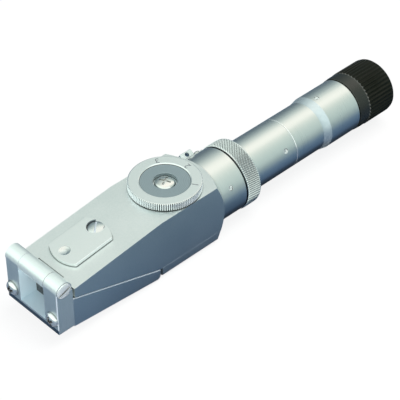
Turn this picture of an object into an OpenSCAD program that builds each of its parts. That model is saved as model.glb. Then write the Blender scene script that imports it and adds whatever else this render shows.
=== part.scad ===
// Hand-held brix refractometer with three ranges, a hinged prism box and a telescope with eyepiece.
// The tube runs along X, the eyepiece is at +X, and +Z is up. The origin is the middle of the flat
// foot under the head, straight below the axis of the range dial. The rest pose is the closed box.

/* [Head] */
// Width of the head
head_w = 29.3; // [28:0.1:32]
// Height of the level top face above the optical axis
head_top = 14.25; // [14:0.05:15]
// Depth of the flat foot below the optical axis
foot_drop = 13.5; // [13.2:0.05:14]
// Thickness of the cover plate that carries the foot
foot_t = 4.5; // [4.1:0.1:4.5]
// Length of the head from its front face to the shoulder
head_len = 77.4; // [76:0.2:82]
// Length of the foot plate, from its front to the shoulder
foot_len = 33.65; // [33:0.05:35]
// Length of the level top face
top_flat_len = 33.8; // [33.2:0.1:36]
// Height of the sloped top face above the optical axis at the head's front face
head_front_h = 9.01; // [8.8:0.05:9.5]
// Slope of the turned chamfer at the shoulder: its radius grows this much per length
chamfer_rise = 1.33; // [1:0.01:2]
// Distance from the dial's axis to the shoulder
dial_to_shoulder = 18.6; // [18.3:0.1:20]

/* [Parting plane] */
// Distance from the rear end of the parting plane to the front of the foot plate
part_end_gap = 0.82; // [0.5:0.02:1]
// Height of the parting plane above the optical axis at the head's front face
part_front_h = 4.7; // [4.4:0.1:5.2]
// Gap between the head and the closed prism box
part_gap = 0.25; // [0.15:0.05:0.4]

/* [Prism box] */
// Gap between the box's rear end and the foot plate
box_rear_gap = 1.4; // [1.1:0.1:2]
// Depth of the box's floor below the optical axis at its front end
box_front_drop = 9.5; // [9:0.1:10]
// Height of the box's lower rear edge above the plane of the foot
box_rear_lift = 0.05; // [0:0.05:0.3]
// Radius of the box's lower rear edge
box_rear_r = 1.6; // [1:0.1:2.4]
// Thickness of the box's floor
box_floor_t = 2.2; // [1.6:0.1:2.6]

/* [Hinge frame] */
// Gap between the frame and the head's front face
frame_gap = 1; // [0.6:0.1:1.4]
// Depth of the frame along X
frame_depth = 7.65; // [7.4:0.05:8]
// Diameter of the hinge barrel
barrel_d = 7.3; // [7:0.1:7.5]
// Height of the hinge axis above the optical axis
hinge_rise = 11.4; // [11:0.1:12]
// Width of each of the frame's legs, beside the light window and the middle knuckle
leg_w = 7.45; // [7.2:0.05:8.5]
// Depth of the window's sill below the optical axis
sill_drop = 5.9; // [5.4:0.1:6.4]
// Radius of the frame's lower edges
frame_edge_r = 0.9; // [0.5:0.1:1.4]
// Gap on each side of the middle knuckle
knuckle_gap = 0.15; // [0.05:0.05:0.3]

/* [Hinge pin] */
// Diameter of the hinge pin
pin_d = 3; // [2.4:0.1:3.4]
// Diameter of the hinge pin's head
pin_head_d = 6.6; // [6:0.1:6.8]
// Height of the hinge pin's head
pin_head_h = 0.7; // [0.5:0.1:1]

/* [Prisms] */
// Thickness of the head's side walls beside the refracting prism
prism_side_wall = 4.65; // [4.2:0.05:6.5]
// Length of metal in front of the refracting prism
prism_front_wall = 3.5; // [3:0.1:5]
// Length of metal between the refracting prism and the front of the foot plate
prism_rear_wall = 7.25; // [6.5:0.05:9]
// Thickness of the head's roof over the prism
roof_t = 3; // [2.6:0.1:3.2]
// Thickness of the packing between the prism and the roof
packing_t = 0.8; // [0.5:0.1:1]
// Length of the prism that the packing leaves bare at each end
packing_end_inset = 4.5; // [3.5:0.5:6.5]
// Width of the prism that the packing leaves bare on each side
packing_inset = 2; // [2:0.5:5]
// Length of the box behind the illuminating prism
lighting_rear_wall = 5.35; // [4.85:0.05:8]
// Thickness of the box's side walls beside the illuminating prism
lighting_side_wall = 6.15; // [5.65:0.05:7.3]

/* [Scale cover] */
// Width of the cover plate
cover_w = 15.6; // [14:0.2:17]
// Length of the cover plate's straight sides
cover_side_len = 18; // [16:0.2:19]
// Bulge of each rounded end beyond the straight sides
cover_bulge = 2.65; // [2:0.05:3.5]
// Thickness of the cover plate
cover_t = 1.6; // [1.4:0.1:2]
// Distance from the head's front face to the middle of the cover plate
cover_back = 16.5; // [14.8:0.1:17.3]
// Offset of the cover plate towards the far side
cover_off = 0.8; // [0:0.1:1.2]
// Distance from the cover plate's middle to its pivot
pivot_reach = 8.55; // [8:0.05:9]
// Offset of the pivot towards the far side, from the middle of the plate
pivot_off = 1.25; // [0.5:0.05:1.8]
// Diameter of the counterbore around the pivot screw
pivot_bore_d = 7.1; // [6.8:0.1:7.4]
// Diameter of the pivot screw's head
pivot_head_d = 6.6; // [5.6:0.1:6.6]
// Depth of the counterbore
pivot_bore_t = 1.1; // [0.9:0.05:1.2]
// Diameter of the finger dimple
dimple_d = 4.8; // [4:0.1:6]
// Depth of the finger dimple
dimple_t = 0.5; // [0.3:0.05:0.7]
// Distance from the cover's pivot forward to the finger dimple
dimple_reach = 16; // [14:0.1:16.5]
// Offset of the finger dimple towards the near side, from the pivot
dimple_off = 0.65; // [0:0.05:1.5]
// Diameter of the scale-adjusting screw
adjust_d = 3.5; // [3:0.1:4]
// Distance from the cover's pivot forward to the adjusting screw
adjust_reach = 13.5; // [11:0.1:14]

/* [Range dial] */
// Diameter of the dial
dial_d = 29.4; // [28:0.1:29.6]
// Height of the dial's face above the optical axis
dial_face_h = 17.75; // [17.4:0.05:18.5]
// Diameter of the recess in the dial's face
dial_recess_d = 20; // [19:0.1:21]
// Depth of the recessed disc below the face
dial_recess_t = 0.5; // [0.3:0.1:0.7]
// Thickness of the dial's web
dial_web_t = 1.2; // [1:0.1:1.4]
// Diameter of the hole in the disc
disc_hole_d = 9.7; // [9:0.1:10.2]
// Diameter of the dial screw's head
dial_screw_d = 8.3; // [7.6:0.1:8.4]
// Height of the dial screw's domed head
dial_screw_h = 1.9; // [1.5:0.1:2]
// Diameter of the dial's spindle
spindle_d = 6; // [5:0.2:6.6]
// Outer diameter of the spindle's bush
bush_d = 9; // [8.4:0.2:9.6]
// Diameter of the drum that carries the range wedges
drum_d = 22; // [21.6:0.1:22.4]
// Height of the drum above the optical axis, and its depth below
drum_half_h = 8.5; // [7:0.1:8.6]
// Diameter of the light channels through the drum
channel_d = 8.4; // [7:0.2:8.6]
// Thickness of each range wedge at its thick edge
wedge_t = 2.2; // [1.8:0.1:2.4]
// Swing of the dial from the middle range to either side, in degrees
dial_step = 60; // [56:1:60]

/* [Neck and compensator] */
// Wall of the neck around the slim tube
neck_wall = 3; // [2.5:0.1:3]
// Length of the neck
neck_len = 12.5; // [12:0.1:14]
// Wall of the knurled compensator ring around the slim tube
ring_wall = 3.5; // [3.1:0.1:4]
// Length of the compensator ring
ring_len = 7.8; // [7:0.1:9]
// Gap in front of the compensator ring
ring_gap = 0.35; // [0.2:0.05:0.5]
// Length of the chamfers on the compensator ring
ring_chamfer = 0.7; // [0.4:0.1:1.2]
// Height of the chamfers on the compensator ring
ring_chamfer_h = 0.5; // [0.3:0.1:0.6]
// Diameter of the key between the ring and its prism cell
key_d = 2.4; // [2:0.1:2.6]
// Swing of the compensator to either side, in degrees
comp_swing = 60; // [50:1:65]
// Length of the cell that holds the compensator prism
amici_cell_len = 18; // [16:0.5:18]
// Length of the compensator prism
amici_len = 15; // [12:0.5:16]

/* [Tubes] */
// Outer diameter of the slim tube
tube_d = 22; // [21.6:0.1:22.4]
// Wall of the slim tube
tube_wall = 1.4; // [1.3:0.1:1.6]
// Length of the slim tube from the ring to the joint
tube_len = 24.05; // [23:0.05:26]
// Length of the rear tube from the joint to its cone
rear_slim_len = 16.2; // [15:0.1:18]
// Length of the cone
cone_len = 4; // [3:0.1:5]
// Step from the slim tube out to the rear tube behind the cone
rear_step = 0.8; // [0.6:0.1:1]
// Length of the rear tube behind the cone
rear_len = 17.1; // [16:0.1:19]
// Wall of the rear tube behind the cone
rear_wall = 1.8; // [1.7:0.1:1.9]

/* [Eyepiece] */
// Width of the groove between the rear tube and the eyepiece
eye_gap = 0.6; // [0.55:0.05:0.7]
// Step from the rear tube out to the ribs of the eyepiece
eye_step = 0.55; // [0.45:0.05:0.95]
// Length of the eyepiece
eye_len = 21.5; // [21:0.1:23]
// Number of ribs on the eyepiece
rib_n = 36; // [24:1:48]
// Depth of the grooves between the ribs
rib_t = 0.45; // [0.3:0.05:0.5]
// Travel of the eyepiece towards the head
travel_in = 0.5; // [0.3:0.05:0.5]
// Travel of the eyepiece away from the head
travel_out = 1.5; // [1:0.1:2]

/* [Small screws and strap lug] */
// Diameter of the heads of the two frame screws
frame_screw_head_d = 6; // [5:0.1:6.2]
// Height of the heads of the two frame screws
frame_screw_head_h = 1.9; // [1.4:0.1:2.4]
// Distance of each frame screw from the frame's side face
frame_screw_edge = 3.05; // [3.05:0.05:3.5]
// Depth of the frame screws below the optical axis
frame_screw_drop = 2.7; // [2:0.1:4]
// Diameter of the set screws
set_screw_d = 2; // [1.6:0.1:2.2]
// Angle of the strap lug from the top, in degrees, towards the far side
lug_angle = 60; // [50:1:70]
// Length of the strap lug's loop along the tube
lug_len = 6; // [5:0.1:6.2]
// Width of the strap lug's loop
lug_w = 3.2; // [2.8:0.1:4]
// Height of the strap lug above the neck
lug_rise = 3.1; // [2.8:0.1:4]
// Diameter of the strap hole
lug_hole_d = 2; // [1.5:0.1:2.1]

/* [Hidden] */
$fn = 96;

// Overrun of the tools that cut right through a wall
over = 0.5;
// Running clearance of shafts, on the radius
run = 0.04;
// Clearance of a piece that is fitted into its seat, on each side
fit = 0.05;
// Clearance of a lens or a prism in its mount, on each side
glass_play = 0.1;

// Widths across the head, from its side faces inwards
window_w = head_w - 2 * leg_w;
prism_w = head_w - 2 * prism_side_wall;
packing_w = prism_w - 2 * packing_inset;
lighting_prism_w = head_w - 2 * lighting_side_wall;
frame_screw_y = head_w / 2 - frame_screw_edge;

// Diameters of the telescope, from the slim tube outwards and inwards
tube_bore_d = tube_d - 2 * tube_wall;
neck_d = tube_d + 2 * neck_wall;
ring_d = tube_d + 2 * ring_wall;
rear_d = tube_d + 2 * rear_step;
rear_bore_d = rear_d - 2 * rear_wall;
eye_d = rear_d + 2 * eye_step;
lug_reach = neck_d / 2 + lug_rise;

// Places along X, from the front to the rear
shoulder_x = dial_to_shoulder;
head_front_x = shoulder_x - head_len;
foot_front_x = shoulder_x - foot_len;
slope_x = shoulder_x - top_flat_len;
frame_rear_x = head_front_x - frame_gap;
frame_front_x = frame_rear_x - frame_depth;
hinge_x = frame_front_x + barrel_d / 2;
box_rear_x = foot_front_x - box_rear_gap;
lighting_prism_len = box_rear_x - frame_rear_x - lighting_rear_wall;
prism_len = head_len - foot_len - prism_front_wall - prism_rear_wall;
packing_len = prism_len - 2 * packing_end_inset;
prism_front_x = head_front_x + prism_front_wall;
prism_rear_x = prism_front_x + prism_len;
neck_end_x = shoulder_x + neck_len;
ring_x = neck_end_x + ring_gap;
ring_end_x = ring_x + ring_len;
joint_x = ring_end_x + tube_len;
cone_x = joint_x + rear_slim_len;
cone_end_x = cone_x + cone_len;
rear_end_x = cone_end_x + rear_len;
eye_x = rear_end_x + eye_gap;
eye_end_x = eye_x + eye_len;

// Height of the optical axis above the origin, and the dial's levels above the axis
axis_z = foot_drop;
dial_gap = 0.15;
dial_under_h = head_top + dial_gap;
web_top_h = dial_under_h + dial_web_t;
disc_top_h = dial_face_h - dial_recess_t;
hinge_h = hinge_rise;
foot_top_h = foot_t - foot_drop;

// Station where the parting plane meets the top of the foot plate
meet_x = foot_front_x - part_end_gap;

// Angles of the three sloped faces, in degrees
slope_angle = atan((head_top - head_front_h) / (slope_x - head_front_x));
part_angle = atan((part_front_h - foot_top_h) / (meet_x - head_front_x));
box_floor_angle = atan((foot_drop - box_rear_lift - box_front_drop) / (box_rear_x - frame_rear_x));

// Heights above the optical axis of the sloped faces, at a station x
function slope_h(x) = head_top - (slope_x - x) * tan(slope_angle);
function part_h(x) = part_front_h - (x - head_front_x) * tan(part_angle);
function floor_h(x) = -box_front_drop - (x - frame_rear_x) * tan(box_floor_angle);

// Extrudes an outline of [x, height above the axis] points across the head
module across(width) {
    translate([0, 0, axis_z])
        rotate([90, 0, 0])
            linear_extrude(width, center = true)
                children();
}

// Places a child on the optical axis at station x, with its own Z along the tube
module on_axis(x) {
    translate([x, 0, axis_z])
        rotate([0, 90, 0])
            children();
}

// A turned tube on the optical axis between two stations
module turned(x0, x1, r_out, r_in = 0) {
    on_axis(x0)
        difference() {
            cylinder(r = r_out, h = x1 - x0);
            if (r_in > 0)
                translate([0, 0, -over])
                    cylinder(r = r_in, h = x1 - x0 + 2 * over);
        }
}

// Turns a profile of [radius, station] points around the optical axis
module turned_profile(points) {
    on_axis(0)
        rotate_extrude()
            polygon(points);
}

// Places a child at station x, with its own Z pointing out at an angle from the top to the far side
module outward(x, angle) {
    translate([x, 0, axis_z])
        rotate([-angle, 0, 0])
            children();
}

// Places a child on the sloped top face, with its own Z along the face's normal
module on_slope(x, y) {
    translate([x, y, axis_z + slope_h(x)])
        rotate([0, -slope_angle, 0])
            children();
}

// A pin along Y on the hinge's axis
module hinge_bar(r, y0, y1) {
    translate([hinge_x, y1, axis_z + hinge_h])
        rotate([90, 0, 0])
            cylinder(r = r, h = y1 - y0);
}

// The turned chamfer at the head's rear, as the solid that stays
module shoulder_cone() {
    cone_r = 2 * head_w;
    turned_profile([
        [0, head_front_x - frame_depth],
        [cone_r, head_front_x - frame_depth],
        [cone_r, shoulder_x - (cone_r - neck_d / 2) / chamfer_rise],
        [neck_d / 2, shoulder_x],
        [0, shoulder_x]
    ]);
}

// Head casting, with the prism pocket, the drum chamber and the middle knuckle
knuckle_w = window_w - 2 * knuckle_gap;
arm_t = 2.2;
arm_drop = 1.1;
knuckle_notch = 1.3;
arm_root = 2;
spigot_step = 5.1;
spigot_wall = 2.4;
spigot_d = neck_d - 2 * spigot_step;
tunnel_d = spigot_d - 2 * (spigot_wall + over);
spigot_len = 6;
chamber_play = 0.3;
chamber_roof_gap = 1.1;
chamber_roof_h = drum_half_h + chamber_roof_gap;
pivot_screw_d = 2.4;
pivot_screw_len = 2.4;
detent_r = 11.8;
detent_d = 2.4;
detent_hole_t = 4;

module head_outline() {
    polygon([
        [head_front_x, part_h(head_front_x)],
        [meet_x, foot_top_h],
        [shoulder_x, foot_top_h],
        [shoulder_x, head_top],
        [slope_x, head_top],
        [head_front_x, slope_h(head_front_x)]
    ]);
}

// Outline of the prism pocket: the parting plane below, the roof's underside above
module pocket_outline(play, top_gap, below) {
    x0 = prism_front_x + play;
    x1 = prism_rear_x - play;
    polygon([
        [x0, part_h(x0) - below],
        [x1, part_h(x1) - below],
        [x1, slope_h(x1) - roof_t - top_gap],
        [x0, slope_h(x0) - roof_t - top_gap]
    ]);
}

foot_screw_x = 11.5;
foot_screw_edge = 3.35;
foot_screw_y = head_w / 2 - foot_screw_edge;
foot_screw_d = 2.5;
foot_screw_head_d = 4.6;
foot_screw_head_t = 1.2;
foot_screw_grip = 5;
foot_screw_sink = 0.2;

module at_foot_screws() {
    for (sx = [-1, 1], sy = [-1, 1])
        translate([sx * foot_screw_x, sy * foot_screw_y, 0])
            children();
}

cover_x = head_front_x + cover_back;
pivot_x = cover_x + pivot_reach;
pivot_y = cover_off + pivot_off;
adjust_x = pivot_x - adjust_reach;
adjust_y = cover_off;
adjust_clear = 0.1;

module head_casting() {
    color("silver")
        difference() {
            intersection() {
                across(head_w)
                    head_outline();
                shoulder_cone();
            }
            across(prism_w + 2 * glass_play)
                pocket_outline(0, 0, over);
            translate([head_front_x - over, -window_w / 2, axis_z + hinge_h - barrel_d / 2 - arm_drop + arm_t])
                cube([knuckle_notch + over, window_w, barrel_d]);
            turned(prism_rear_x - over, -drum_d / 2 + over, tunnel_d / 2);
            turned(drum_d / 2 - over, shoulder_x - spigot_len + over, tunnel_d / 2);
            turned(shoulder_x - spigot_len - fit, shoulder_x + over, spigot_d / 2 + fit);
            translate([0, 0, axis_z + foot_top_h - over])
                cylinder(d = drum_d + 2 * chamber_play, h = chamber_roof_h - foot_top_h + over);
            translate([0, 0, axis_z])
                cylinder(d = bush_d + 2 * fit, h = head_top + over);
            translate([-detent_r, 0, axis_z + head_top - detent_hole_t])
                cylinder(d = detent_d + 2 * fit, h = detent_hole_t + over);
            at_foot_screws()
                translate([0, 0, axis_z + foot_top_h - over])
                    cylinder(d = foot_screw_d + 2 * fit, h = foot_screw_grip + 2 * over);
            on_slope(pivot_x, pivot_y)
                translate([0, 0, -pivot_screw_len - fit])
                    cylinder(d = pivot_screw_d + 2 * fit, h = pivot_screw_len + 2 * over);
            on_slope(adjust_x, adjust_y)
                translate([0, 0, -2 * roof_t])
                    cylinder(d = adjust_d + 2 * run, h = 2 * roof_t + over);
        }
    color("silver")
        difference() {
            union() {
                hinge_bar(barrel_d / 2, -knuckle_w / 2, knuckle_w / 2);
                translate([hinge_x + barrel_d / 8, -knuckle_w / 2, axis_z + hinge_h - barrel_d / 2 - arm_drop])
                    cube([head_front_x - hinge_x - barrel_d / 8, knuckle_w, arm_t]);
            }
            hinge_bar(pin_d / 2 + run, -window_w, window_w);
        }
}

// Foot cover, the plate under the head that closes the drum chamber and carries the foot
foot_inset = 0.15;
foot_edge = 0.7;
drum_pivot_d = 4;
drum_pivot_len = 2.2;

module foot_cover() {
    half_w = head_w / 2 - foot_inset;
    color("silver")
        difference() {
            intersection() {
                translate([foot_front_x, 0, 0])
                    rotate([90, 0, 90])
                        linear_extrude(foot_len)
                            polygon([
                                [-half_w, foot_t],
                                [-half_w, foot_edge],
                                [-half_w + foot_edge, 0],
                                [half_w - foot_edge, 0],
                                [half_w, foot_edge],
                                [half_w, foot_t]
                            ]);
                shoulder_cone();
            }
            translate([0, 0, foot_t - drum_pivot_len - fit])
                cylinder(d = drum_pivot_d + 2 * run, h = drum_pivot_len + 2 * over);
            turned(shoulder_x - spigot_len - fit, shoulder_x + over, spigot_d / 2 + fit);
            at_foot_screws()
                foot_screw_shape(fit, over);
        }
}

// One countersunk screw of the foot cover, grown by a clearance and lengthened below
module foot_screw_shape(grow, below) {
    head_z = foot_screw_sink;
    translate([0, 0, head_z - below])
        cylinder(d = foot_screw_head_d + 2 * grow, h = below + grow);
    translate([0, 0, head_z])
        cylinder(d1 = foot_screw_head_d + 2 * grow, d2 = foot_screw_d + 2 * grow, h = foot_screw_head_t);
    translate([0, 0, head_z])
        cylinder(d = foot_screw_d + 2 * grow, h = foot_t + foot_screw_grip - head_z);
}

foot_slot_w = 0.7;
foot_slot_t = 0.6;

module foot_screws() {
    color("gainsboro")
        at_foot_screws()
            difference() {
                foot_screw_shape(0, 0);
                translate([-foot_screw_head_d / 2, -foot_slot_w / 2, foot_screw_sink - over])
                    cube([foot_screw_head_d, foot_slot_w, foot_slot_t + over]);
            }
}

// Refracting prism in the head, with its measuring face on the parting plane
module refracting_prism() {
    color("lightcyan")
        across(prism_w)
            pocket_outline(glass_play, packing_t, 0);
}

// Packing strip between the refracting prism and the roof
module prism_packing() {
    x0 = prism_front_x + (prism_len - packing_len) / 2;
    x1 = x0 + packing_len;
    color("dimgray")
        difference() {
            across(packing_w)
                polygon([
                    [x0, slope_h(x0) - roof_t - packing_t],
                    [x1, slope_h(x1) - roof_t - packing_t],
                    [x1, slope_h(x1) - roof_t],
                    [x0, slope_h(x0) - roof_t]
                ]);
            on_slope(adjust_x, adjust_y)
                translate([0, 0, -2 * roof_t])
                    cylinder(d = adjust_d + 2 * glass_play, h = 2 * roof_t);
        }
}

// Bush in the head's roof, in which the spindle turns
module spindle_bush() {
    color("goldenrod")
        translate([0, 0, axis_z + chamber_roof_h])
            difference() {
                cylinder(d = bush_d, h = head_top - chamber_roof_h);
                translate([0, 0, -over])
                    cylinder(d = spindle_d + 2 * run, h = head_top + 2 * over);
            }
}

// Detent ball and spring under the dial
detent_rise = 0.45;
detent_track_t = 0.6;
detent_track_w = 2.6;
spring_wall = 0.35;
spring_seat = 0.1;

module detent_ball() {
    color("lightsteelblue")
        translate([-detent_r, 0, axis_z + head_top + detent_rise - detent_d / 2])
            sphere(d = detent_d);
}

module detent_spring() {
    ball_low_h = head_top + detent_rise - detent_d;
    bottom_h = head_top - detent_hole_t;
    color("gray")
        translate([-detent_r, 0, axis_z + bottom_h])
            difference() {
                cylinder(d = detent_d - 2 * fit, h = ball_low_h - bottom_h + spring_seat);
                translate([0, 0, -over])
                    cylinder(d = detent_d - 2 * spring_wall, h = detent_hole_t + 2 * over);
            }
}

// Neck sleeve between the head and the tube
neck_front_t = 2.4;
lug_sink = 0.6;
lug_back = 2.2;
lug_seat_r = neck_d / 2 - lug_sink;
lug_x = shoulder_x + lug_back;
lug_foot_t = 0.8;
lug_foot_w = 4.6;
lug_foot_len = 10;
strap_screw_head_d = 3.2;
strap_screw_head_h = 1;
strap_screw_d = 1.6;
strap_screw_len = 1.4;
strap_screw_x = lug_x + lug_len + strap_screw_head_d / 2 + 2 * fit;
neck_screw_back = 5.35;
neck_screw_x = shoulder_x + neck_screw_back;
neck_screw_angle = -60.5;

module neck_sleeve() {
    bore_x = shoulder_x + neck_front_t;
    color("silver")
        difference() {
            union() {
                turned(shoulder_x, neck_end_x, neck_d / 2);
                turned(shoulder_x - spigot_len, shoulder_x + over, spigot_d / 2);
            }
            turned(shoulder_x - spigot_len - over, bore_x + over, tunnel_d / 2 + over);
            turned(bore_x, neck_end_x + over, tube_d / 2 + fit);
            outward(0, lug_angle)
                translate([lug_x - fit, -lug_foot_w / 2 - fit, lug_seat_r])
                    cube([lug_foot_len + 2 * fit, lug_foot_w + 2 * fit, neck_d]);
            outward(strap_screw_x, lug_angle)
                translate([0, 0, lug_seat_r - strap_screw_len - fit])
                    cylinder(d = strap_screw_d + 2 * fit, h = strap_screw_len + 2 * over);
            outward(neck_screw_x, neck_screw_angle)
                cylinder(d = set_screw_d + 2 * fit, h = neck_d);
        }
}

// Strap lug, a foot plate with a loop, on the far side of the neck
module strap_lug() {
    color("silver")
        outward(0, lug_angle)
            difference() {
                union() {
                    translate([lug_x, -lug_foot_w / 2, lug_seat_r])
                        cube([lug_foot_len, lug_foot_w, lug_foot_t]);
                    translate([lug_x, -lug_w / 2, lug_seat_r])
                        cube([lug_len, lug_w, lug_reach - lug_seat_r]);
                }
                translate([lug_x + lug_len / 2, 0, (lug_reach + lug_seat_r + lug_foot_t) / 2])
                    rotate([90, 0, 0])
                        cylinder(d = lug_hole_d, h = 2 * lug_foot_w, center = true);
                translate([strap_screw_x, 0, lug_seat_r - over])
                    cylinder(d = strap_screw_d + 2 * fit, h = lug_foot_t + 2 * over);
            }
}

module strap_screw() {
    top_r = lug_seat_r + lug_foot_t;
    color("gainsboro")
        outward(strap_screw_x, lug_angle) {
            translate([0, 0, lug_seat_r - strap_screw_len])
                cylinder(d = strap_screw_d, h = strap_screw_len + lug_foot_t);
            translate([0, 0, top_r])
                cylinder(d1 = strap_screw_head_d, d2 = strap_screw_head_d - strap_screw_head_h, h = strap_screw_head_h);
        }
}

// Front tube, which runs from the neck through the compensator ring to the joint
front_tube_x = shoulder_x + neck_front_t + fit;
key_x = (ring_x + ring_end_x) / 2;
tube_screw_ahead = 5.6;
tube_screw_x = joint_x - tube_screw_ahead;
tube_screw_angle = -62.5;
slot_play = 4;

module front_tube() {
    slot_half = comp_swing + asin(key_d / tube_bore_d) + slot_play;
    color("silver")
        difference() {
            turned(front_tube_x, joint_x, tube_d / 2, tube_bore_d / 2);
            on_axis(key_x - key_d / 2 - fit)
                rotate([0, 0, -slot_half])
                    rotate_extrude(angle = 2 * slot_half)
                        translate([tube_bore_d / 2 - over, 0])
                            square([(tube_d - tube_bore_d) / 2 + 2 * over, key_d + 2 * fit]);
            outward(tube_screw_x, tube_screw_angle)
                cylinder(d = set_screw_d + 2 * fit, h = tube_d);
        }
}

// Objective lens and its cell
objective_cell_x = front_tube_x;
objective_cell_len = 5.2;
objective_lip = 1;
objective_t = 3.4;
lens_bulge = 1;
cell_wall = 1.4;

// Depth of a dome with this bulge below its top, at a share of the lens's radius
function dome_sag(share, bulge) = bulge * share * share;

// A lens with two domed faces on the optical axis, from station x0
module lens(x0, radius, thickness, bulge) {
    shares = [0 : 0.125 : 1];
    turned_profile(concat(
        [for (s = shares) [radius * s, x0 + dome_sag(s, bulge)]],
        [for (s = shares) [radius * (1 - s), x0 + thickness - dome_sag(1 - s, bulge)]]
    ));
}

module objective_cell() {
    x1 = objective_cell_x + objective_cell_len;
    r_out = tube_bore_d / 2 - fit;
    color("dimgray")
        difference() {
            turned(objective_cell_x, x1, r_out, r_out - cell_wall - objective_lip);
            turned(objective_cell_x + objective_lip, x1 + over, r_out - cell_wall);
        }
}

module objective_lens() {
    color("lightcyan")
        lens(objective_cell_x + objective_lip + fit, tube_bore_d / 2 - 2 * fit - cell_wall, objective_t, lens_bulge);
}

// Two set screws, one in the neck and one in the slim tube
set_screw_sink = 0.35;
hex_af_share = 0.5;
hex_t_share = 0.5;

// A set screw between two radii, with a hexagon socket in its outer end
module set_screw(r0, r1) {
    difference() {
        translate([0, 0, r0])
            cylinder(d = set_screw_d, h = r1 - r0);
        translate([0, 0, r1 - (r1 - r0) * hex_t_share])
            cylinder(d = set_screw_d * hex_af_share, h = r1 - r0, $fn = 6);
    }
}

module tube_set_screws() {
    color("gray") {
        outward(neck_screw_x, neck_screw_angle)
            set_screw(tube_d / 2, neck_d / 2 - set_screw_sink);
        outward(tube_screw_x, tube_screw_angle)
            set_screw(tube_bore_d / 2 - fit, tube_d / 2 - set_screw_sink / 2);
    }
}

// Cell with the scale reticle, at the end of the slim tube
reticle_cell_len = 7;
reticle_cell_x = tube_screw_x - reticle_cell_len / 2;
reticle_t = 1.5;
reticle_lip = 1;

module reticle_cell() {
    x1 = reticle_cell_x + reticle_cell_len;
    r_out = tube_bore_d / 2 - fit;
    color("dimgray")
        difference() {
            turned(reticle_cell_x, x1, r_out, r_out - cell_wall - reticle_lip);
            turned(reticle_cell_x + reticle_lip, x1 + over, r_out - cell_wall);
        }
}

module scale_reticle() {
    x0 = reticle_cell_x + reticle_lip + fit;
    color("lightcyan")
        turned(x0, x0 + reticle_t, tube_bore_d / 2 - 2 * fit - cell_wall);
}

// Rear tube, with its cone and the stepped end under the eyepiece
rear_spigot_len = 1.9;
rear_spigot_wall = 1;
skirt_wall = 0.5;
skirt_seat_len = 3.3;
skirt_step = 0.35;
rear_tail_len = 11;
guide_screw_back = 2.5;
guide_screw_x = cone_end_x + guide_screw_back;

module rear_tube() {
    bore_r = rear_bore_d / 2;
    seat_r = rear_d / 2 - skirt_wall;
    tail_r = seat_r - skirt_step;
    tail_x = rear_end_x + skirt_seat_len;
    color("silver")
        difference() {
            turned_profile([
                [tube_bore_d / 2 - fit - rear_spigot_wall, joint_x - rear_spigot_len],
                [tube_bore_d / 2 - fit, joint_x - rear_spigot_len],
                [tube_bore_d / 2 - fit, joint_x],
                [tube_d / 2, joint_x],
                [tube_d / 2, cone_x],
                [rear_d / 2, cone_end_x],
                [rear_d / 2, rear_end_x],
                [seat_r, rear_end_x],
                [seat_r, tail_x],
                [tail_r, tail_x],
                [tail_r, tail_x + rear_tail_len],
                [bore_r, tail_x + rear_tail_len],
                [bore_r, cone_x],
                [tube_bore_d / 2 - fit - rear_spigot_wall, cone_x]
            ]);
            outward(guide_screw_x, 0)
                cylinder(d = set_screw_d + 2 * fit, h = rear_d);
        }
}

// Guide screw, which keeps the ocular cell from turning
guide_tip = 0.9;

module guide_screw() {
    color("gray")
        outward(guide_screw_x, 0)
            set_screw(rear_bore_d / 2 - guide_tip, rear_d / 2 - set_screw_sink);
}

// Pivot screw of the scale cover
pivot_head_t = 0.5;
pivot_head_lift = 0.05;
pivot_slot_w = 0.9;
pivot_slot_t = 0.3;
pivot_slot_angle = 47.5;
cover_lift = 0.05;

module cover_pivot_screw() {
    floor_z = cover_lift + cover_t - pivot_bore_t + pivot_head_lift;
    color("gainsboro")
        on_slope(pivot_x, pivot_y)
            difference() {
                union() {
                    translate([0, 0, -pivot_screw_len])
                        cylinder(d = pivot_screw_d, h = pivot_screw_len + floor_z);
                    translate([0, 0, floor_z])
                        cylinder(d = pivot_head_d, h = pivot_head_t);
                }
                rotate([0, 0, pivot_slot_angle])
                    translate([-pivot_head_d, -pivot_slot_w / 2, floor_z + pivot_head_t - pivot_slot_t])
                        cube([2 * pivot_head_d, pivot_slot_w, pivot_head_t]);
            }
}

// Prism box, the hinged lower shell that holds the illuminating prism
lighting_prism_x = frame_rear_x + glass_play;
lighting_prism_end_x = lighting_prism_x + lighting_prism_len;
keeper_t = 0.8;

// Points of the rounded lower rear edge of the box
function box_rear_arc() = [
    for (a = [0 : 15 : 90])
        [box_rear_x - box_rear_r + box_rear_r * cos(a),
         floor_h(box_rear_x) + box_rear_r - box_rear_r * sin(a)]
];

module box_outline() {
    polygon(concat(
        [[frame_rear_x, part_h(frame_rear_x) - part_gap],
         [box_rear_x, part_h(box_rear_x) - part_gap]],
        box_rear_arc(),
        [[frame_rear_x, floor_h(frame_rear_x)]]
    ));
}

// Outline of the pocket for the illuminating prism and its keeper
module lighting_outline(x0, x1, top_lift) {
    polygon([
        [x0, part_h(x0) - part_gap + top_lift],
        [x1, part_h(x1) - part_gap + top_lift],
        [x1, floor_h(x1) + box_floor_t],
        [x0, floor_h(x0) + box_floor_t]
    ]);
}

module prism_box() {
    color("lightslategray")
        difference() {
            across(head_w)
                box_outline();
            across(lighting_prism_w + 2 * glass_play)
                lighting_outline(frame_rear_x - over, lighting_prism_end_x + keeper_t + fit, over);
            at_frame_screws()
                cylinder(d = frame_screw_d + 2 * fit, h = frame_screw_grip + 2 * over);
        }
}

// Screws through the frame into the box
frame_screw_d = 2.5;
frame_screw_grip = 6;

// Places a child at both frame screws, on the frame's rear face, with its own Z towards the rear
module at_frame_screws() {
    for (side = [-1, 1])
        translate([frame_rear_x, side * frame_screw_y, axis_z - frame_screw_drop])
            rotate([0, 90, 0])
                children();
}

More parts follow.
